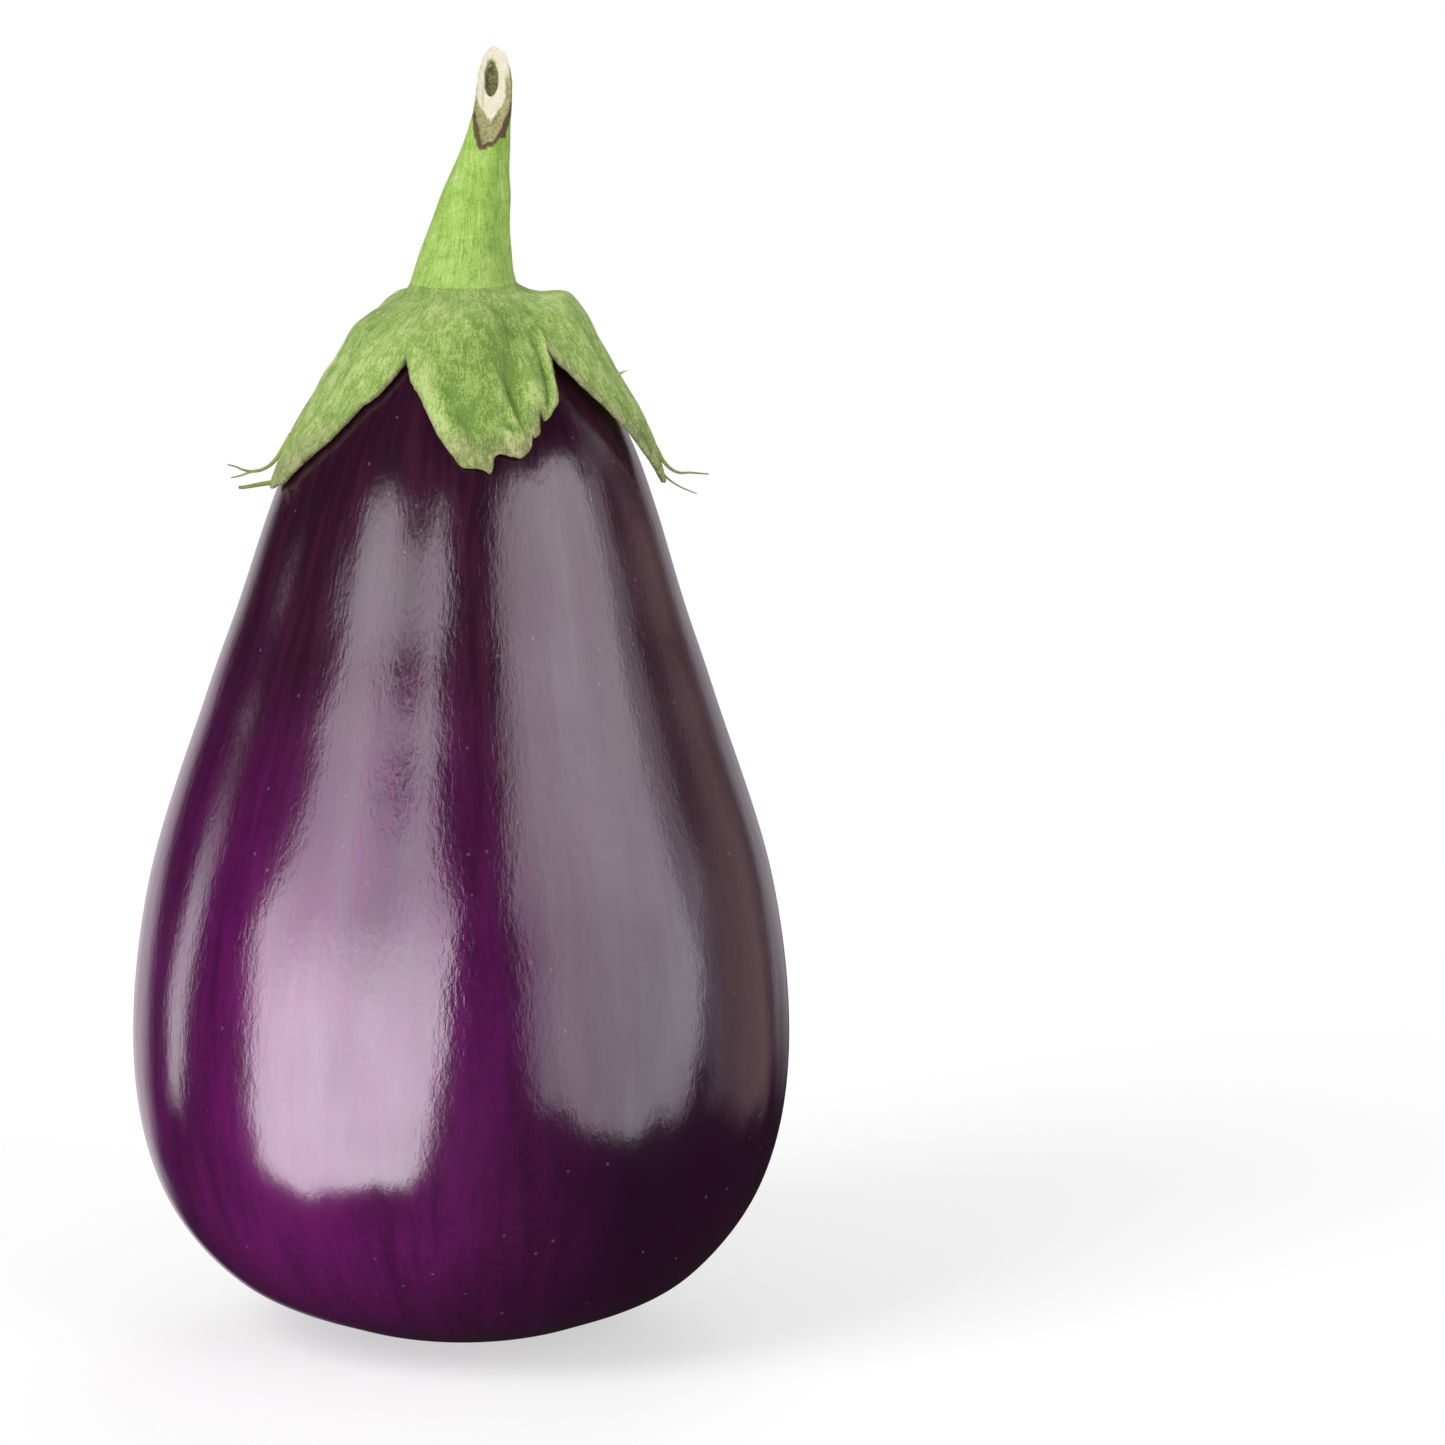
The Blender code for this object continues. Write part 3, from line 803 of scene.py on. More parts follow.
def green_calyx(settings):
    """Felted green: painted light on the ribs, painted shade in the folds and under the lobes, tan where the
    margins have dried.
    """
    material, tree, shader = new_material("felted_calyx")
    felt = tree.group(felt_group(), hair_width=0.42 * MM, hair_length=1.9 * MM, patch_size=3.2 * MM)
    mottle = felt.outputs["Mottle"]
    spots = tree.ramp(mottle, 0.32, 0.68, -0.62, 0.62)
    # Painted light and shade: the relief makes the ribs lighter and the folds darker, the patches of light
    # and shade add more, and the spots are the felt's own mottle.
    level = tree.weigh((tree.attribute("relief"), 0.42), (tree.attribute("tone"), 0.62), (spots, 1.0))
    low = tree.mix(tree.spread(level, -0.85, 0.0), settings.dark_felt_and_shaded_fold_colour, settings.leaf_colour)
    colour = tree.mix(tree.spread(level, 0.0, 0.85), low, settings.pale_felt_and_lit_rib_colour)
    dry = tree.times(tree.attribute("dry"), tree.spread(mottle, 0.30, 0.62, 0.55, 1.0))
    dry_colour = tree.mix(
        tree.spread(mottle, 0.40, 0.60), dimmed(settings.dry_colour, 0.5), settings.dry_colour
    )
    colour = tree.mix(dry, colour, dry_colour)
    colour = tree.mix(tree.times(tree.attribute("brown"), 0.85), colour, settings.brown_colour)
    tree.fill(shader, {
        "Base Color": colour, "Roughness": tree.ramp(mottle, 0.35, 0.65, 0.85, 0.65),
        "Specular IOR Level": 0.3, "Sheen Weight": 0.08, "Sheen Roughness": 0.5,
    })
    add_bump(tree, shader, felt.outputs["Height"], 0.65 * MM)
    return material


def green_stem(stem, calyx):
    """Streaked green with a cut end of pale wood, sunken pith and a browned edge."""
    material, tree, shader = new_material("streaked_stem")
    felt = tree.group(felt_group(), hair_width=0.40 * MM, hair_length=2.4 * MM, patch_size=3.0 * MM)
    mottle = felt.outputs["Mottle"]
    streaks = tree.group(streak_group(), width=1.1 * MM, length=12 * MM, detail=3.0, wander=0.6).outputs[0]
    level = tree.weigh((mottle, 0.55), (streaks, 0.45))
    # The foot is as pale as the collar, and the shaft above it is a stronger green.
    foot = tree.attribute("foot")
    body = tree.mix(foot, stem.skin_colour, dimmed(calyx.leaf_colour, 1.15))
    deep = tree.mix(foot, dimmed(stem.skin_colour, 0.70), dimmed(calyx.dark_felt_and_shaded_fold_colour, 1.3))
    colour = tree.mix(tree.spread(level, 0.36, 0.50), deep, body)
    colour = tree.mix(tree.spread(level, 0.53, 0.72), colour, calyx.pale_felt_and_lit_rib_colour)
    grain = tree.noise(tree.add("TexCoord").outputs["Object"], 2200.0, 3.0, 0.6)
    # The cut end's surfaces: mask, colour, how dark the grain is, and where in the grain it turns light.
    for mask, own, share, low, high in (
        ("bark", stem.bark_colour, 0.62, 0.35, 0.60),
        ("cream", stem.cream_colour, 0.86, 0.35, 0.65),
        ("pith", stem.pith_colour, 0.42, 0.40, 0.62),
    ):
        surface = tree.mix(tree.spread(grain, low, high), dimmed(own, share), own)
        colour = tree.mix(tree.attribute(mask), colour, surface)
    colour = tree.mix(tree.attribute("burn"), colour, stem.burn_colour)
    tree.fill(shader, {
        "Base Color": colour, "Roughness": tree.ramp(mottle, 0.35, 0.65, 0.80, 0.6),
        "Specular IOR Level": 0.3,
    })
    add_bump(tree, shader, felt.outputs["Height"], 0.20 * MM)
    return material


def plain_green(name, colour, tip_colour):
    """Thin dry growth: green at the foot and browner towards the tip."""
    material, tree, shader = new_material(name)
    place = tree.add("TexCoord").outputs["Object"]
    mottle = tree.noise(place, 1500.0, 3.0, 0.6)
    tip = tree.math("ADD", tree.attribute("tip"), tree.ramp(mottle, 0.35, 0.65, -0.3, 0.3), clamp=True)
    tree.fill(shader, {
        "Base Color": tree.mix(tip, colour, tip_colour), "Roughness": tree.ramp(mottle, 0.3, 0.7, 0.75, 0.55),
    })
    add_bump(tree, shader, mottle, 0.08 * MM, strength=0.6)
    return material


def lobe_shape(azimuth):
    """How far the calyx is lifted off the skin, and how far its shoulder bulges, at each azimuth."""
    azimuth = (np.asarray(azimuth) - RIM_PLACES[0].azimuth) % 360 + RIM_PLACES[0].azimuth
    lift, bulge = np.zeros_like(azimuth), np.zeros_like(azimuth)
    for low, high in zip(RIM_PLACES, RIM_PLACES[1:]):
        inside = (azimuth >= low.azimuth) & (azimuth <= high.azimuth)
        share = (azimuth[inside] - low.azimuth) / (high.azimuth - low.azimuth)
        out = share if low.bulge > high.bulge else 1 - share
        notch, lobe = (high, low) if low.bulge > high.bulge else (low, high)
        lift[inside] = notch.lift * out**2 + lobe.lift * (1 - out**2)
        bulge[inside] = lobe.bulge * (1 - out**2) ** 2
    return lift, bulge


def calyx_rim():
    """The azimuth and the distance from the crown of evenly spaced columns round the rim."""
    first_azimuth, first_along = RIM_OUTLINE[0]
    outline = smooth_path([*RIM_OUTLINE, (first_azimuth + 360, first_along)], steps=10)
    outline[:, 1] *= MM
    outline[:, 0] = np.maximum.accumulate(outline[:, 0])
    travelled = lengths_along(skin_point(outline[:, 0], outline[:, 1], SEAT_GAP))
    even = np.linspace(0, travelled[-1], CALYX_COLUMNS, endpoint=False)
    azimuth, along = (np.interp(even, travelled, values) for values in outline.T)
    points = skin_point(azimuth, along)
    jagged = noise_at(points, 1.1 * MM) + 0.6 * noise_at(points, 0.5 * MM)
    return azimuth, along + RIM_JAG * jagged


def fold_heights(azimuth, along, fold_scale):
    """The height of the ribs, folds and wrinkles above the plain lobe, in metres, point by point."""
    points = skin_point(azimuth, along)
    height = np.zeros(len(points))
    folds = list(FOLDS)
    for azimuth_of_lobe, length, spread in LOBE_RIBS:
        folds.append(Fold(((azimuth_of_lobe, 12.0), (azimuth_of_lobe, length)), 1.5, (0.2, 0.4, 0.15)))
        for turn in (-spread, spread):
            side_rib = (
                (azimuth_of_lobe + 1.25 * turn, 13.0),
                (azimuth_of_lobe + turn, 0.55 * length),
                (azimuth_of_lobe + 0.4 * turn, 0.86 * length),
            )
            valley = ((azimuth_of_lobe + 0.6 * turn, 14.0), (azimuth_of_lobe + 0.5 * turn, 0.62 * length))
            folds += [Fold(side_rib, 1.3, (0.15, 0.35, 0.1)), Fold(valley, 1.0, (-0.2, -0.45, -0.1))]
    for fold in folds:
        line = smooth_path(fold.places, steps=6)
        distance, share = nearest_on_line(points, skin_point(line[:, 0], line[:, 1] * MM))
        tall = np.interp(share, (0.0, 0.5, 1.0), fold.heights) * MM
        height += tall * hump(distance, fold.width * MM)
    flow = flow_vectors(azimuth, along)
    for across, down, tall, seed in WRINKLES:
        height += tall * MM * noise_at(flow, (across * MM, across * MM, down * MM), seed)
    return height * fold_scale


def swelling(swells, azimuth, along):
    """The sum of these swells at each place, in their own unit."""
    total = np.zeros(np.broadcast(azimuth, along).shape)
    for swell in swells:
        turn = (azimuth - swell.azimuth + 180) % 360 - 180
        reached = hump(along - swell.along * MM, swell.reach * MM)
        total = total + swell.height * hump(turn, swell.turn) * reached
    return total


def edge_distances(points, rim):
    """How far each point is from the rim, in slices that keep the table of distances small."""
    distance = np.empty(len(points))
    for start in range(0, len(points), 4000):
        part = points[start : start + 4000]
        distance[start : start + 4000] = np.sqrt(
            ((part[:, None, :] - rim[None, :, :]) ** 2).sum(-1).min(1)
        )
    return distance


def calyx_surface(settings):
    """The calyx as columns of a closed loop: over the lobe, up the fillet, down inside and back.

    It returns each point's place, azimuth, distance from the crown, distance from the rim, relief, and
    whether it is on the underside.
    """
    azimuth, edge = calyx_rim()
    lift, bulge = lobe_shape(azimuth)
    rim_mid = settings.rim_thickness / 2

    def rows_of(count, crowding, start):
        """Shares from the rim (0) to the collar (1), crowded at the rim, as distances from the crown."""
        share = np.linspace(0, 1, count) ** crowding
        return edge[:, None] + (start - edge[:, None]) * share[None, :]

    def spread_out(rows):
        return np.broadcast_to(azimuth[:, None], rows.shape).ravel()

    def lifted(rows):
        share = eased((rows - LIFT_START) / (edge[:, None] - LIFT_START))
        return SEAT_GAP + lift[:, None] * share

    rim_points = skin_point(azimuth, edge)
    over = rows_of(LOBE_ROWS, RIM_CROWDING, COLLAR_START)
    over_points = skin_point(spread_out(over), over.ravel())
    over_edge = edge_distances(over_points, rim_points).reshape(over.shape)
    relief = fold_heights(spread_out(over), over.ravel(), settings.fold_scale).reshape(over.shape)
    relief *= sum(share * eased(over_edge / reach) for share, reach in FOLD_FADES)
    thickness = settings.rim_thickness + LOBE_EXTRA * eased(over_edge / LOBE_EXTRA_REACH)
    thickness += (COLLAR_THICKNESS - settings.rim_thickness) * hump(over - STEM_HOLE, COLLAR_FADE)
    thickness += bulge[:, None] * hump(over - SHOULDER_PLACE, SHOULDER_SPREAD) * eased(
        (over - STEM_HOLE) / (SHOULDER_PLACE - STEM_HOLE)
    )
    thickness += MM * swelling(SWELLS, azimuth[:, None], over)
    thickness = np.maximum(thickness, settings.rim_thickness)
    round_off = np.sqrt(1 - (1 - np.clip(over_edge / rim_mid, 0, 1)) ** 2)
    raised = thickness + np.maximum(relief, THINNEST - thickness)
    proud = lifted(over) + rim_mid + (raised - rim_mid) * round_off
    outer = skin_point(spread_out(over), over.ravel(), proud.ravel()).reshape(*over.shape, 3)

    # The fillet runs from the collar up to the seam with the stem, level with both.
    foot = outer[:, -1]
    foot_slope = foot - outer[:, -3]
    head = stem_point(azimuth, SEAM_HEIGHT)
    head_slope = head - stem_point(azimuth, SEAM_HEIGHT - SLOPE_STEP)
    reach = np.linalg.norm(head - foot, axis=1, keepdims=True)
    for slope in (foot_slope, head_slope):
        slope *= FILLET_SLOPE * reach / np.linalg.norm(slope, axis=1, keepdims=True)
    t = (np.arange(1, FILLET_ROWS + 1) / FILLET_ROWS)[None, :, None]
    fillet = (
        (2 * t**3 - 3 * t**2 + 1) * foot[:, None]
        + (t**3 - 2 * t**2 + t) * foot_slope[:, None]
        + (3 * t**2 - 2 * t**3) * head[:, None]
        + (t**3 - t**2) * head_slope[:, None]
    )
    fillet_along = COLLAR_START + (FILLET_END - COLLAR_START) * t[:, :, 0]
    fillet_along = np.broadcast_to(fillet_along, fillet.shape[:2])

    # Inside the stem's foot the wall drops to the seat, and then follows the skin back out to the rim.
    middle = head.mean(0)
    inset = middle + (head - middle) * (CORE_SHARE, CORE_SHARE, 1.0) - (0, 0, CORE_DROP)
    seat = skin_point(azimuth, STEM_HOLE, SEAT_GAP)
    t = np.linspace(0, 1, CORE_ROWS, endpoint=False)[None, :, None]
    core = inset[:, None] + (seat - inset)[:, None] * t
    core_along = np.full(core.shape[:2], STEM_HOLE)
    under = rows_of(UNDER_ROWS, RIM_CROWDING, STEM_HOLE)[:, :0:-1]
    under_points = skin_point(spread_out(under), under.ravel())
    under_edge = edge_distances(under_points, rim_points).reshape(under.shape)
    round_under = 1 - np.sqrt(1 - (1 - np.clip(under_edge / rim_mid, 0, 1)) ** 2)
    under_proud = lifted(under) + rim_mid * round_under
    inner = skin_point(spread_out(under), under.ravel(), under_proud.ravel()).reshape(*under.shape, 3)

    loop = np.concatenate([outer, fillet, core, inner], axis=1)
    along = np.concatenate([over, fillet_along, core_along, under], axis=1)
    rows = (over.shape[1], FILLET_ROWS, CORE_ROWS, under.shape[1])

    def four_parts(*parts):
        """Joins values for the lobes, the fillet, the core and the underside, each an array or a number."""
        filled = [np.broadcast_to(part, (CALYX_COLUMNS, count)) for part, count in zip(parts, rows)]
        return np.concatenate(filled, axis=1)

    edge_gap = four_parts(over_edge, FAR_FROM_RIM, FAR_FROM_RIM, under_edge)
    fillet_relief = relief[:, -1:] * np.linspace(1, 0, FILLET_ROWS)[None, :]
    # The underside's relief is painted shade, and darkens its colour only.
    height = four_parts(relief, fillet_relief, 0.0, UNDERSIDE_SHADE)
    below = four_parts(0.0, 0.0, 1.0, 1.0)
    turns = np.broadcast_to(azimuth[:, None], along.shape)
    return loop, turns, along, edge_gap, height, below


class EGGPLANT_OT_fruit(bpy.types.Operator):
    """Turns the glossy fruit, with the scar on its blossom end"""

    bl_idname = "eggplant.fruit"
    bl_label = "Fruit"

    def execute(self, context):
        settings = context.scene.eggplant_fruit
        share = np.linspace(0, 1, FRUIT_ROWS)
        along = MERIDIAN_LENGTHS[-1] * (share - ROW_CROWDING * np.sin(math.tau * share))
        profile = np.stack([np.interp(along, MERIDIAN_LENGTHS, values) for values in MERIDIAN.T], -1)
        profile[0, 0] = 0
        base = smooth_path(SCAR_OUTLINE, steps=3) * MM
        profile = np.vstack([profile, base])
        deselect_all()
        bpy.ops.mesh.primitive_circle_add(vertices=len(profile), radius=FRUIT_RADIUS)
        fruit = start_piece("fruit_body")
        mesh = fruit.data
        write_points(mesh, np.stack([profile[:, 0], np.zeros(len(profile)), profile[:, 1]], -1))
        # The circle's last edge would close the profile along the axis.
        closing = [set(edge.vertices) == {0, len(profile) - 1} for edge in mesh.edges]
        select_only(mesh, "EDGE", closing)
        bpy.ops.mesh.delete(type="EDGE")
        bpy.ops.mesh.select_all(action="SELECT")
        bpy.ops.mesh.spin(steps=FRUIT_SEGMENTS, angle=math.tau, center=(0, 0, 0), axis=(0, 0, 1))
        close_shell(merge_distance=0.002 * MM)

        points = read_points(mesh)
        radius, height = np.hypot(points[:, 0], points[:, 1]), points[:, 2]
        azimuth = np.degrees(np.arctan2(points[:, 1], points[:, 0]))
        gaps = (radius[:, None] - profile[:, 0]) ** 2 + (height[:, None] - profile[:, 1]) ** 2
        travelled = lengths_along(profile)[gaps.argmin(1)]
        around = np.radians(azimuth)
        turning = np.stack([np.cos(around), np.sin(around), travelled / LUMP_LENGTH], -1)
        lumps = sum(
            weight * noise_at(turning, (across, across, down), seed) for across, down, weight, seed in LUMPS
        )
        lumps *= settings.lump_height * eased((height - LUMP_START) / LUMP_RISE) * eased(radius / LUMP_CROWN)
        for crease in CREASES:
            line = smooth_path(crease.places, steps=8)
            depth = settings.crease_depth * crease.share
            distance, share = nearest_on_line(
                skin_point(azimuth, travelled), skin_point(line[:, 0], line[:, 1] * MM)
            )
            lumps -= depth * hump(distance, crease.width * MM) * np.sin(math.pi * share) ** 0.5
        write_points(mesh, lathe_point(azimuth, radius + lumps, height))
        write_attribute(mesh, "flow", flow_vectors(azimuth, travelled))
        ragged = 1.0 + 0.18 * noise_at(turning, (0.5, 0.5, 9.0), seed=5.0)
        on_base = height < 2 * MM
        write_attribute(mesh, "scar", on_base * (1 - eased((radius - SCAR_RADIUS * ragged) / SCAR_EDGE)))
        finish_piece(fruit, purple_skin(settings), "purple_skin", "fruit", sharp_angle=60)
        return {"FINISHED"}


class EGGPLANT_OT_calyx(bpy.types.Operator):
    """Shapes the thick felted calyx from a ring, with its ribs, folds and torn rims"""

    bl_idname = "eggplant.calyx"
    bl_label = "Calyx"

    def execute(self, context):
        settings = context.scene.eggplant_calyx
        loop, turns, along, edge_gap, relief, below = calyx_surface(settings)
        columns, rows = along.shape
        deselect_all()
        bpy.ops.mesh.primitive_grid_add(x_subdivisions=columns, y_subdivisions=rows, size=2.0)
        calyx = start_piece("calyx_cap")
        mesh = calyx.data
        # The flat grid is rolled up both ways: its last column meets its first, and its last row too.
        flat = read_points(mesh)
        column = np.rint((flat[:, 0] + 1) / 2 * columns).astype(int) % columns
        row = np.rint((flat[:, 1] + 1) / 2 * rows).astype(int) % rows
        write_points(mesh, loop[column, row])

        write_attribute(mesh, "flow", flow_vectors(turns, along)[column, row])
        write_attribute(mesh, "relief", (relief / (0.5 * MM))[column, row])
        # Painted light: the collar is painted lighter, on top of the patches of painted light and shade.
        tone = swelling(LIGHT_AND_SHADE_PATCHES, turns, along) + 0.35 * hump(along - COLLAR_START, 4 * MM)
        write_attribute(mesh, "tone", tone[column, row])
        points = loop.reshape(-1, 3)
        patchy = noise_at(points, 2.6 * MM, seed=9.0).reshape(along.shape)
        # The ends of the lobes dry first, and every rim is tan along its lip and underneath.
        ends = eased((along - 27.5 * MM) / (7 * MM)) * (1 - eased((edge_gap - 2.2 * MM) / (3.2 * MM)))
        front_tear = hump(turns - 299, 7) * (1 - eased((edge_gap - 0.3 * MM) / (1.9 * MM)))
        lip_width = 0.10 + 0.25 * np.clip(patchy, 0, 1) + 0.45 * hump(turns - 329, 15)
        lip = 1 - eased((edge_gap - lip_width * MM) / (0.38 * MM))
        dry = np.clip(0.75 * ends + 0.9 * front_tear + 0.45 * patchy * (ends + front_tear), 0, 1)
        dry = np.maximum.reduce([dry, 0.85 * lip, 0.8 * below])
        write_attribute(mesh, "dry", dry[column, row])
        specks = noise_at(points, 0.9 * MM, seed=1.0).reshape(along.shape)
        specks = np.clip(specks * 3 - 1.1, 0, 1)
        brown = np.clip(specks * (1 - eased(edge_gap / (1.2 * MM))) * (0.3 + ends + front_tear), 0, 1)
        write_attribute(mesh, "brown", brown[column, row])
        bpy.ops.object.mode_set(mode="EDIT")
        close_shell(merge_distance=0.0005 * MM)
        finish_piece(calyx, green_calyx(settings), "green_calyx", "calyx", sharp_angle=75)
        return {"FINISHED"}


class EGGPLANT_OT_stem(bpy.types.Operator):
    """Draws the stem up from the collar and cuts it on a slant"""

    bl_idname = "eggplant.stem"
    bl_label = "Cut stem"

    def execute(self, context):
        settings = context.scene.eggplant_stem
        deselect_all()
        bpy.ops.mesh.primitive_cylinder_add(
            vertices=STEM_SEGMENTS, radius=1.0, depth=1.0, end_fill_type="NOTHING", location=(0, 0, 0.5)
        )
        stem = start_piece("cut_stem")
        bpy.ops.object.transform_apply(location=True, rotation=True, scale=True)
        mesh = stem.data
        upright = []
        for edge in mesh.edges:
            low, high = (mesh.vertices[i].co for i in edge.vertices)
            upright.append(abs(low.z - high.z) > 0.5)
        select_only(mesh, "EDGE", upright)
        bpy.ops.mesh.subdivide(number_cuts=STEM_RINGS)
        bpy.ops.object.mode_set(mode="OBJECT")
        points = read_points(mesh)
        azimuth = np.degrees(np.arctan2(points[:, 1], points[:, 0]))
        height = SEAM_HEIGHT + (STEM_REACH - SEAM_HEIGHT) * points[:, 2]
        write_points(mesh, stem_point(azimuth, height))

        select_only(mesh, "FACE", np.ones(len(mesh.polygons), bool))
        # The threshold has to be fine, or the new rim strays off the plane.
        bpy.ops.mesh.bisect(
            plane_co=CUT_PLACE, plane_no=CUT_FACING, use_fill=True, clear_outer=True,
            threshold=CUT_THRESHOLD,
        )
        bpy.ops.object.mode_set(mode="OBJECT")
        points = read_points(mesh)
        cut_rim = points[np.abs((points - np.array(CUT_PLACE)) @ np.array(CUT_FACING)) < CUT_TOLERANCE]
        facing = [face.normal.dot(CUT_FACING) > 0.99 and len(face.vertices) > 8 for face in mesh.polygons]
        select_only(mesh, "FACE", facing)
        middle = Vector(CUT_PLACE)
        for ring in range(CUT_RINGS, 1, -1):
            bpy.ops.mesh.extrude_region_move(TRANSFORM_OT_translate={"value": (0, 0, 0)})
            shrink = (ring - 1) / ring
            bpy.ops.transform.resize(value=(shrink, shrink, shrink), center_override=middle)
        bpy.ops.mesh.poke()
        self.close_foot(mesh)
        self.carve_cut(mesh, cut_rim)
        calyx = context.scene.eggplant_calyx
        finish_piece(stem, green_stem(settings, calyx), "green_stem", "stem", sharp_angle=48)
        return {"FINISHED"}

    def close_foot(self, mesh):
        """Caps the stem inside the collar, a little below the seam."""
        bpy.ops.object.mode_set(mode="OBJECT")
        low = SEAM_HEIGHT + 0.01 * MM
        foot = [all(mesh.vertices[i].co.z < low for i in edge.vertices) for edge in mesh.edges]
        select_only(mesh, "EDGE", foot)
        bpy.ops.mesh.extrude_edges_move(TRANSFORM_OT_translate={"value": (0, 0, -0.2 * MM)})
        bpy.ops.transform.resize(value=(0.88, 0.88, 1.0))
        bpy.ops.mesh.edge_face_add()
        close_shell(merge_distance=0.004 * MM)

    def carve_cut(self, mesh, cut_rim):
        """Sinks the pith, frays the rim, and marks which surface is wood, pith, bark and browned edge."""
        points = read_points(mesh)
        offset = points - np.array(CUT_PLACE)
        above = offset @ np.array(CUT_FACING)
        across = offset[:, 0] / MM
        uphill = offset @ np.array(CUT_UPHILL) / MM
        face = np.abs(above) < 0.01 * MM
        from_rim = edge_distances(points, cut_rim) / MM
        ragged = noise_at(points, 0.9 * MM, seed=3.0)
        fine = noise_at(points, 0.35 * MM, seed=6.0)
        pith_place = np.hypot((across + 0.15) / 1.05, (uphill - 2.6) / 2.9) + 0.16 * ragged
        hollow = 1 - eased((pith_place - 0.8) / 0.3)
        crack = hump(across + 1.25, 0.2) * hump(uphill + 0.4, 1.5)
        # Wood fills the cut from its top down to a point, and bark is left round it and under it.
        share = np.clip(np.where(uphill > 1.6, (uphill - 1.6) / 5.3, (1.6 - uphill) / 5.9), 0, 1)
        half_width = np.where(uphill > 1.6, 3.0, 2.35 * (1 - share**2.4))
        wood = eased((half_width - np.abs(across + 0.25) + 0.35 * ragged + 0.12 * fine) / 0.25)
        wood *= 1 - eased((across - 1.75 - 0.25 * ragged) / 0.25) * eased((4.0 - uphill) / 2.0)
        under = eased((-uphill - 1.8) / 3.0) * (1 - wood)
        sink = 1.1 * hollow + 0.35 * crack + 0.5 * under * eased(from_rim / 0.5)
        sink += 0.14 * (1 - wood) - 0.05 * ragged * wood
        write_points(mesh, points - (face * MM * sink)[:, None] * np.array(CUT_FACING))

        side = 1 - face
        low_end = eased((-uphill - 1.2) / 2.2)
        right = eased((across - 1.2) / 0.7) * eased((5.6 - uphill) / 1.5)
        write_attribute(mesh, "cream", face * wood * (1 - hollow))
        write_attribute(mesh, "pith", face * hollow)
        band = side * (1 - eased((from_rim - 0.35 - 0.35 * ragged) / 0.35))
        write_attribute(mesh, "bark", np.maximum(face * (1 - wood), band * (0.35 + 0.65 * low_end)))
        reach = 0.30 + 0.45 * right + 0.25 * low_end + 0.4 * ragged + 0.2 * fine
        outline = side * (1 - eased((from_rim - reach) / 0.22)) * np.maximum(low_end, right)
        lip = face * (1 - eased((from_rim - 0.10 - 0.12 * fine) / 0.16)) * np.maximum(low_end, 0.7 * right)
        write_attribute(mesh, "burn", np.clip(np.maximum(outline, lip), 0, 1))
        azimuth = np.degrees(np.arctan2(points[:, 1], points[:, 0] - 2 * MM))
        down = 6 * MM - (points[:, 2] - SEAM_HEIGHT)
        write_attribute(mesh, "flow", flow_vectors(azimuth, down) * np.array((0.32, 0.32, 1.0)))
        write_attribute(mesh, "foot", 1 - eased((points[:, 2] - SEAM_HEIGHT) / (15 * MM)))


class EGGPLANT_OT_threads(bpy.types.Operator):
    """Draws the dry threads that the lobes' tips end in"""

    bl_idname = "eggplant.threads"
    bl_label = "Lobe threads"

    def execute(self, context):
        settings = context.scene.eggplant_threads
        tubes = []
        for thread in THREADS:
            deselect_all()
            bpy.ops.curve.primitive_nurbs_path_add()
            curve = bpy.context.object.data
            curve.splines.clear()
            line = smooth_path(thread.points, steps=5) * MM
            spline = curve.splines.new("POLY")
            spline.points.add(len(line) - 1)
            share = np.linspace(0, 1, len(line))
            radius = thread.start_radius + (thread.end_radius - thread.start_radius) * share**0.55
            for point, place, size in zip(spline.points, line, radius):
                point.co = (*place, 1)
                point.radius = size * settings.thickness
            curve.dimensions = "3D"
            curve.bevel_depth = MM
            curve.bevel_resolution = 3
            curve.use_fill_caps = True
            bpy.ops.object.convert(target="MESH")
            tube = bpy.context.object
            points = read_points(tube.data)
            _, along = nearest_on_line(points, line)
            write_attribute(tube.data, "tip", along)
            tubes.append(tube)
        threads = join_pieces(tubes, "lobe_threads")
        bpy.ops.object.transform_apply(location=True, rotation=True, scale=True)
        bpy.ops.object.mode_set(mode="EDIT")
        close_shell(merge_distance=0.001 * MM)
        material = plain_green("dry_threads", settings.thread_colour, settings.thread_tip)
        finish_piece(threads, material, "green_calyx", sharp_angle=60)
        return {"FINISHED"}


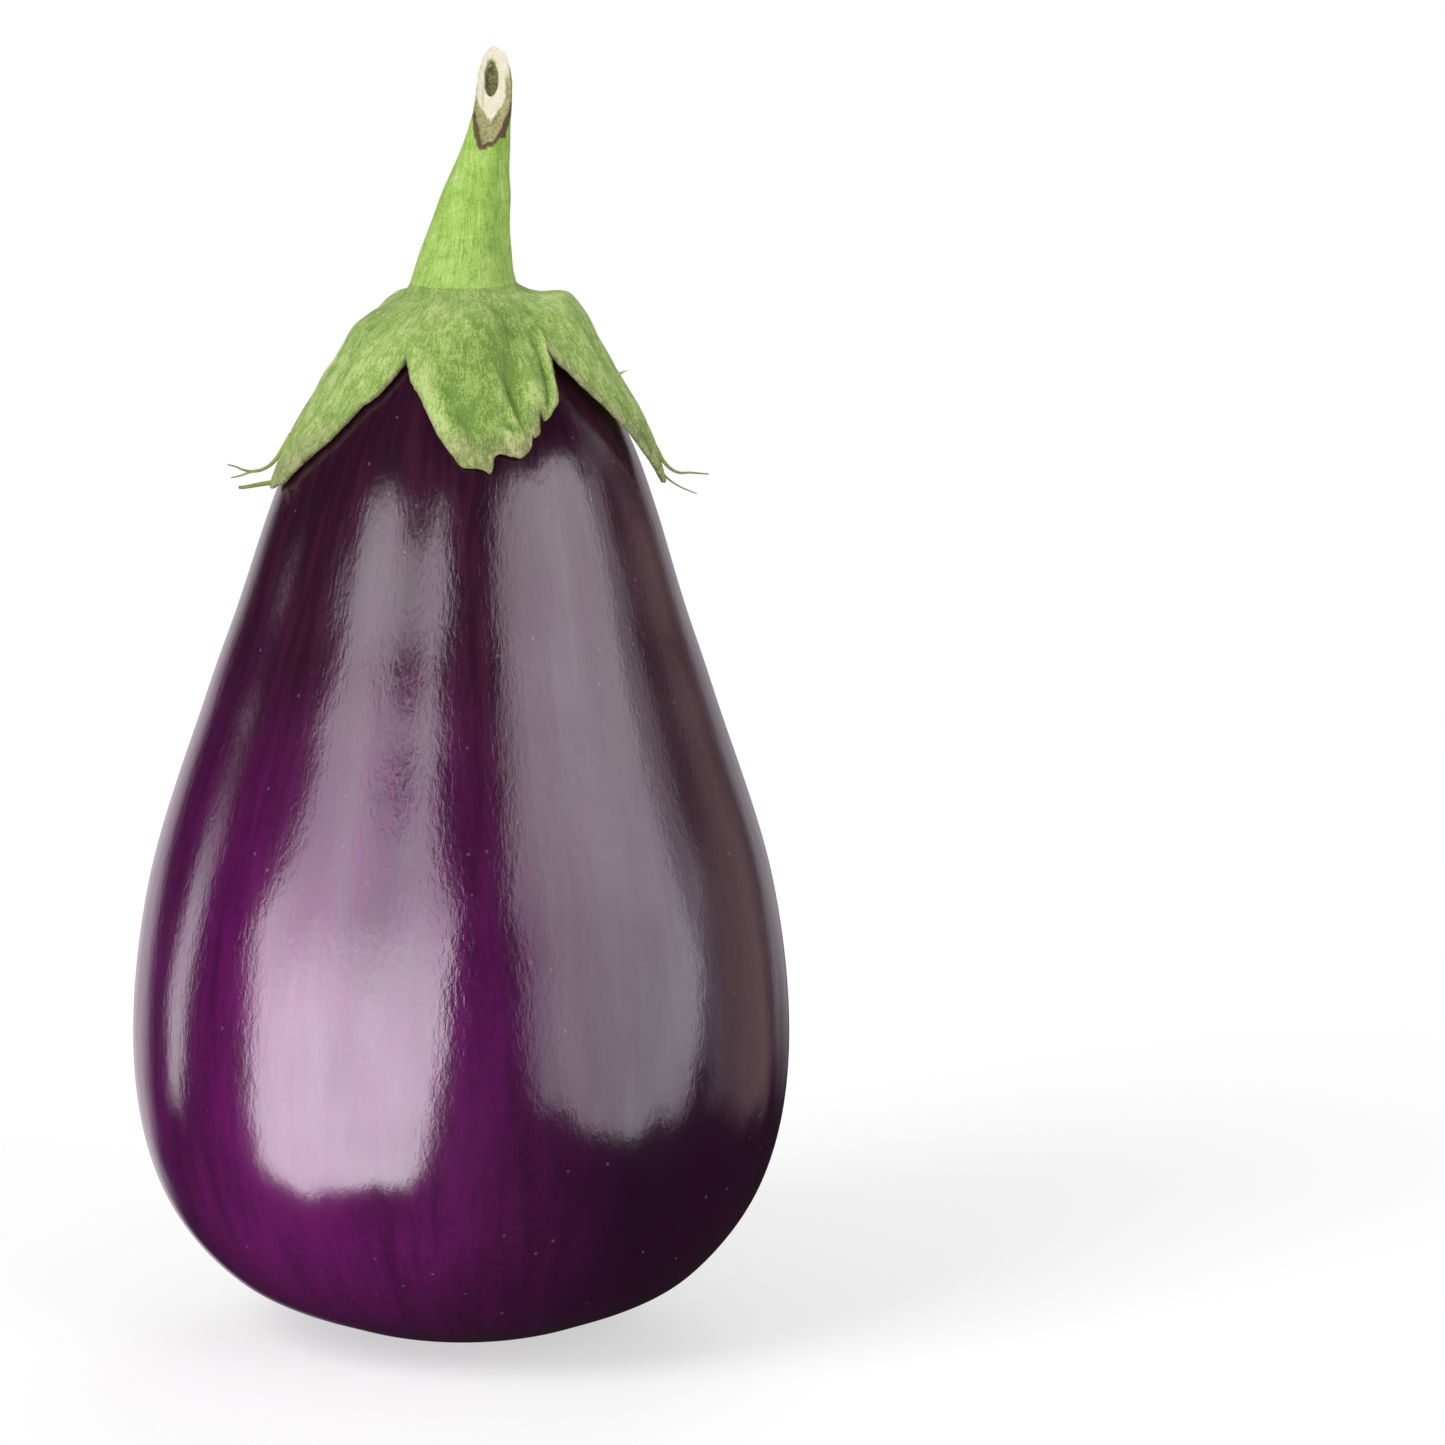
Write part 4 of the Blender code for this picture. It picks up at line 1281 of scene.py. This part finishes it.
class EGGPLANT_OT_prickles(bpy.types.Operator):
    """Sets the few small prickles on the calyx"""

    bl_idname = "eggplant.prickles"
    bl_label = "Prickles"

    def execute(self, context):
        settings = context.scene.eggplant_threads
        spikes = []
        for prickle in PRICKLES:
            foot = self.foot_of(prickle, -0.4 * MM)
            out = (self.foot_of(prickle, MM) - foot).normalized()
            sideways = Vector((-out.y, out.x, 0)).normalized()
            lean = math.radians(prickle.lean)
            towards = (out * math.cos(lean) + sideways * math.sin(lean)).normalized()
            length = prickle.length * MM + 0.6 * MM
            deselect_all()
            bpy.ops.mesh.primitive_cone_add(
                vertices=14, radius1=settings.prickle_radius, radius2=0.04 * MM, depth=length,
                location=foot + towards * length / 2, rotation=towards.to_track_quat("Z", "Y").to_euler(),
            )
            spike = bpy.context.object
            bpy.ops.object.transform_apply(location=True, rotation=True, scale=True)
            points = read_points(spike.data)
            write_attribute(spike.data, "tip", np.linalg.norm(points - np.array(foot), axis=1) / length)
            bpy.ops.object.mode_set(mode="EDIT")
            bpy.ops.mesh.select_all(action="SELECT")
            bpy.ops.mesh.subdivide(number_cuts=3)
            bpy.ops.object.mode_set(mode="OBJECT")
            # The sides are hollowed, so that the foot flares, and the tip droops.
            points = read_points(spike.data)
            height = (points - np.array(foot)) @ np.array(towards) / length
            axis = np.array(foot) + height[:, None] * np.array(towards) * length
            points = axis + (points - axis) * (0.45 + 0.55 * (1 - height[:, None]) ** 1.2)
            points[:, 2] -= 0.12 * length * np.clip(height, 0, 1) ** 2
            write_points(spike.data, points)
            spikes.append(spike)
        prickles = join_pieces(spikes, "calyx_prickles")
        material = plain_green("pale_prickles", settings.prickle_colour, settings.prickle_tip)
        finish_piece(prickles, material, "green_calyx", sharp_angle=60)
        return {"FINISHED"}

    def foot_of(self, prickle, proud):
        """A point over the calyx at the prickle's place."""
        lift, bulge = lobe_shape(np.array([float(prickle.azimuth)]))
        along = prickle.along * MM
        thickness = 1.3 * MM + 2.0 * MM * hump(along - STEM_HOLE, COLLAR_FADE)
        thickness += bulge[0] * hump(along - SHOULDER_PLACE, SHOULDER_SPREAD)
        lifted = SEAT_GAP + 0.5 * lift[0]
        return Vector(skin_point(prickle.azimuth, along, lifted + thickness + proud))


Softbox = namedtuple("Softbox", "azimuth elevation half_width half_height softness lean low high")
# What the skin mirrors, by direction: azimuth from the front towards +X and elevation, in degrees, and
# brightness at the lower and the upper end, as shares of the softbox light. A negative one is a flag.
SOFTBOXES = (
    Softbox(-39.5, -3, 35.5, 32, 0.06, 0.18, 1.05, 0.51),
    Softbox(-50, -14, 25, 18, 0.60, 0.0, 0.05, 0.08),
    Softbox(-33, 12, 6, 22, 0.90, 0.25, -0.06, -0.14),
    Softbox(58, 7, 34, 27, 0.06, -0.10, 0.40, 0.54),
    Softbox(47, 6, 6, 30, 0.90, -0.2, -0.07, -0.09),
    Softbox(28, 6, 7, 34, 0.90, -0.1, -0.16, -0.20),
    Softbox(-113, -2, 5, 12, 0.30, 0.5, 0.44, 0.24),
    Softbox(118, -4, 22, 14, 0.25, 0.0, 0.10, 0.10),
    Softbox(124, 26, 15, 12, 0.45, 0.2, 0.10, 0.07),
    Softbox(96, 9, 5, 15, 0.50, 0.3, 0.16, 0.22),
    Softbox(-158, -9, 14, 13, 0.35, 0.0, 0.17, 0.13),
    Softbox(160, 0, 15, 12, 0.40, 0.0, 0.10, 0.10),
)
# What the skin mirrors is mauve, and brown between these azimuths below these elevations.
BROWN_AZIMUTHS = (103, 145)
BROWN_FADE = (8.0, 18.0)
MAUVE_TINT = (1.0, 0.90, 0.99)
BROWN_TINT = (1.0, 0.70, 0.68)
MIRRORED_DARK = 0.003
# The area lights: name, setting that holds the power, size, and place.
AREA_LIGHTS = (
    ("key_light", "key_power", 0.55, (-0.62, -0.62, 0.75)),
    ("fill_light", "fill_power", 0.60, (0.70, -0.70, 0.45)),
    ("back_light", "fill_power", 0.60, (0.20, 0.85, 0.60)),
)


def softbox_group():
    """How bright a round-cornered soft box is, seen in a direction."""
    group, tree, given, result = new_group(
        "Softbox",
        {
            "Azimuth": "Float", "Elevation": "Float", "Centre Azimuth": "Float", "Centre Elevation": "Float",
            "Half Width": "Float", "Half Height": "Float", "Softness": "Float", "Lean": "Float",
            "Low": "Float", "High": "Float",
        },
        {"Brightness": "Float"},
    )
    out = given.outputs
    rise = tree.math("SUBTRACT", out["Elevation"], out["Centre Elevation"])
    centre = tree.math("ADD", out["Centre Azimuth"], tree.times(rise, out["Lean"]))
    turn = tree.math("WRAP", tree.math("SUBTRACT", out["Azimuth"], centre), 180.0, -180.0)
    corner = 4.0
    wide = tree.math("POWER", tree.math("ABSOLUTE", tree.math("DIVIDE", turn, out["Half Width"])), corner)
    tall = tree.math("POWER", tree.math("ABSOLUTE", tree.math("DIVIDE", rise, out["Half Height"])), corner)
    far = tree.math("POWER", tree.math("ADD", wide, tall), 1 / corner)
    start, end = (tree.math(kind, 1.0, out["Softness"]) for kind in ("SUBTRACT", "ADD"))
    inside = tree.spread(far, start, end, 1.0, 0.0)
    level = tree.math("DIVIDE", rise, out["Half Height"])
    bright = tree.spread(level, 0.0, 0.85, out["Low"], out["High"])
    tree.put(result.inputs["Brightness"], tree.times(inside, bright))
    return group


def light_room(settings):
    """A world that is even for matt surfaces, white to look at, and hung with soft boxes for mirrors."""
    world = bpy.data.worlds.new("soft_studio")
    bpy.context.scene.world = world
    world.use_nodes = True
    tree = ShaderTree(world.node_tree)
    background = world.node_tree.nodes["Background"]
    direction = tree.add("TexCoord").outputs["Generated"]
    parts = tree.add("SeparateXYZ", {"Vector": direction}).outputs
    around = tree.math("ARCTAN2", parts["X"], tree.math("MULTIPLY", parts["Y"], -1.0))
    # The cloth sags and creases, so no edge of a soft box is straight.
    sway, sag = (
        tree.ramp(tree.noise(tree.vector_math("ADD", direction, shift), 4.5, 3.0, 0.6), 0.3, 0.7, -4.0, 4.0)
        for shift in ((0, 0, 0), (7, 3, 5))
    )
    azimuth = tree.math("ADD", tree.math("DEGREES", around), sway)
    elevation = tree.math("ADD", tree.math("DEGREES", tree.math("ARCSINE", parts["Z"])), sag)
    group = softbox_group()
    total = 0.0
    for box in SOFTBOXES:
        node = tree.group(
            group, azimuth=azimuth, elevation=elevation, centre_azimuth=box.azimuth,
            centre_elevation=box.elevation, half_width=box.half_width, half_height=box.half_height,
            softness=box.softness, lean=box.lean, low=box.low, high=box.high,
        )
        total = tree.math("ADD", total, node.outputs[0])
    cloth = tree.ramp(tree.noise(direction, 3.2, 3.0, 0.55), 0.3, 0.7, 0.90, 1.12)
    total = tree.math("MAXIMUM", tree.times(total, cloth), MIRRORED_DARK)
    mirrored = tree.times(total, settings.softbox_light)
    paths = tree.add("LightPath").outputs
    strength = tree.mix_numbers(paths["Is Glossy Ray"], settings.room_light, mirrored)
    strength = tree.mix_numbers(paths["Is Camera Ray"], strength, 1.0)
    start, end = BROWN_AZIMUTHS
    brown = tree.times(tree.math("GREATER_THAN", azimuth, start), tree.math("LESS_THAN", azimuth, end))
    brown = tree.times(brown, tree.spread(elevation, *BROWN_FADE, 1.0, 0.0))
    glossy_tint = tree.mix(brown, MAUVE_TINT, BROWN_TINT)
    tint = tree.mix(paths["Is Glossy Ray"], (1.0, 1.0, 1.0), glossy_tint)
    tree.fill(background, {"Color": tint, "Strength": strength})
    world.cycles.sampling_method = "NONE"


def add_area_light(name, power, size, place, target):
    """A soft square light that shines on the matt parts only."""
    light = bpy.data.lights.new(name, "AREA")
    light.energy = power
    light.shape = "SQUARE"
    light.size = size
    lamp = bpy.data.objects.new(name, light)
    bpy.context.scene.collection.objects.link(lamp)
    lamp.location = place
    lamp.rotation_euler = (Vector(target) - Vector(place)).to_track_quat("-Z", "Y").to_euler()
    lamp.visible_glossy = False
    lamp.visible_camera = False


def floor_material(settings):
    """A pale top that fades into the white round it."""
    material, tree, shader = new_material("pale_floor")
    place = tree.add("TexCoord").outputs["Object"]
    far = tree.add("VectorMath", {0: place}, operation="LENGTH").outputs["Value"]
    tree.fill(shader, {
        "Base Color": settings.floor_colour, "Roughness": 0.9, "Specular IOR Level": 0.0,
        "Emission Color": (1, 1, 1), "Emission Strength": settings.floor_glow,
        "Alpha": tree.spread(far, 0.16, settings.floor_radius * 0.95, 1.0, 0.0),
    })
    return material


class EGGPLANT_OT_stage(bpy.types.Operator):
    """Lays the pale floor, hangs the lights and sets the camera"""

    bl_idname = "eggplant.stage"
    bl_label = "Stage"

    def execute(self, context):
        settings = context.scene.eggplant_stage
        deselect_all()
        bpy.ops.mesh.primitive_circle_add(vertices=96, radius=settings.floor_radius, fill_type="NGON")
        floor = start_piece("floor")
        floor.data.materials.append(floor_material(settings))
        floor.visible_glossy = False
        target = (0, 0, FRUIT_HEIGHT * 0.7)
        for name, power, size, place in AREA_LIGHTS:
            add_area_light(name, getattr(settings, power), size, place, target)
        light_room(settings)
        camera = bpy.data.objects.new("camera", bpy.data.cameras.new("camera"))
        context.scene.collection.objects.link(camera)
        camera.location = CAMERA_PLACE
        camera.rotation_euler = (CAMERA_PITCH, 0, 0)
        camera.data.lens = CAMERA_LENS
        context.scene.camera = camera
        context.scene.view_settings.view_transform = "Standard"
        return {"FINISHED"}


OPERATORS = (
    EGGPLANT_OT_stage,
    EGGPLANT_OT_fruit,
    EGGPLANT_OT_calyx,
    EGGPLANT_OT_stem,
    EGGPLANT_OT_threads,
    EGGPLANT_OT_prickles,
)
SETTINGS = {
    "eggplant_stage": EggplantStageSettings,
    "eggplant_fruit": EggplantFruitSettings,
    "eggplant_calyx": EggplantCalyxSettings,
    "eggplant_stem": EggplantStemSettings,
    "eggplant_threads": EggplantThreadSettings,
}


class EGGPLANT_PT_panel(bpy.types.Panel):
    """Lists the eggplant's pieces, sizes and colours"""

    bl_label = "Eggplant"
    bl_idname = "EGGPLANT_PT_panel"
    bl_space_type = "VIEW_3D"
    bl_region_type = "UI"
    bl_category = "Eggplant"

    def draw(self, context):
        layout = self.layout
        for operator in OPERATORS:
            layout.operator(operator.bl_idname)
        for name, group in SETTINGS.items():
            box = layout.box()
            for value in group.__annotations__:
                box.prop(getattr(context.scene, name), value)


def register():
    for cls in (*SETTINGS.values(), *OPERATORS, EGGPLANT_PT_panel):
        bpy.utils.register_class(cls)
    for name, group in SETTINGS.items():
        setattr(bpy.types.Scene, name, PointerProperty(type=group))


def unregister():
    for name in SETTINGS:
        delattr(bpy.types.Scene, name)
    for cls in reversed((*SETTINGS.values(), *OPERATORS, EGGPLANT_PT_panel)):
        bpy.utils.unregister_class(cls)


def main():
    register()
    bpy.ops.eggplant.stage()
    bpy.ops.eggplant.fruit()
    bpy.ops.eggplant.calyx()
    bpy.ops.eggplant.stem()
    bpy.ops.eggplant.threads()
    bpy.ops.eggplant.prickles()


if __name__ == "__main__":
    main()
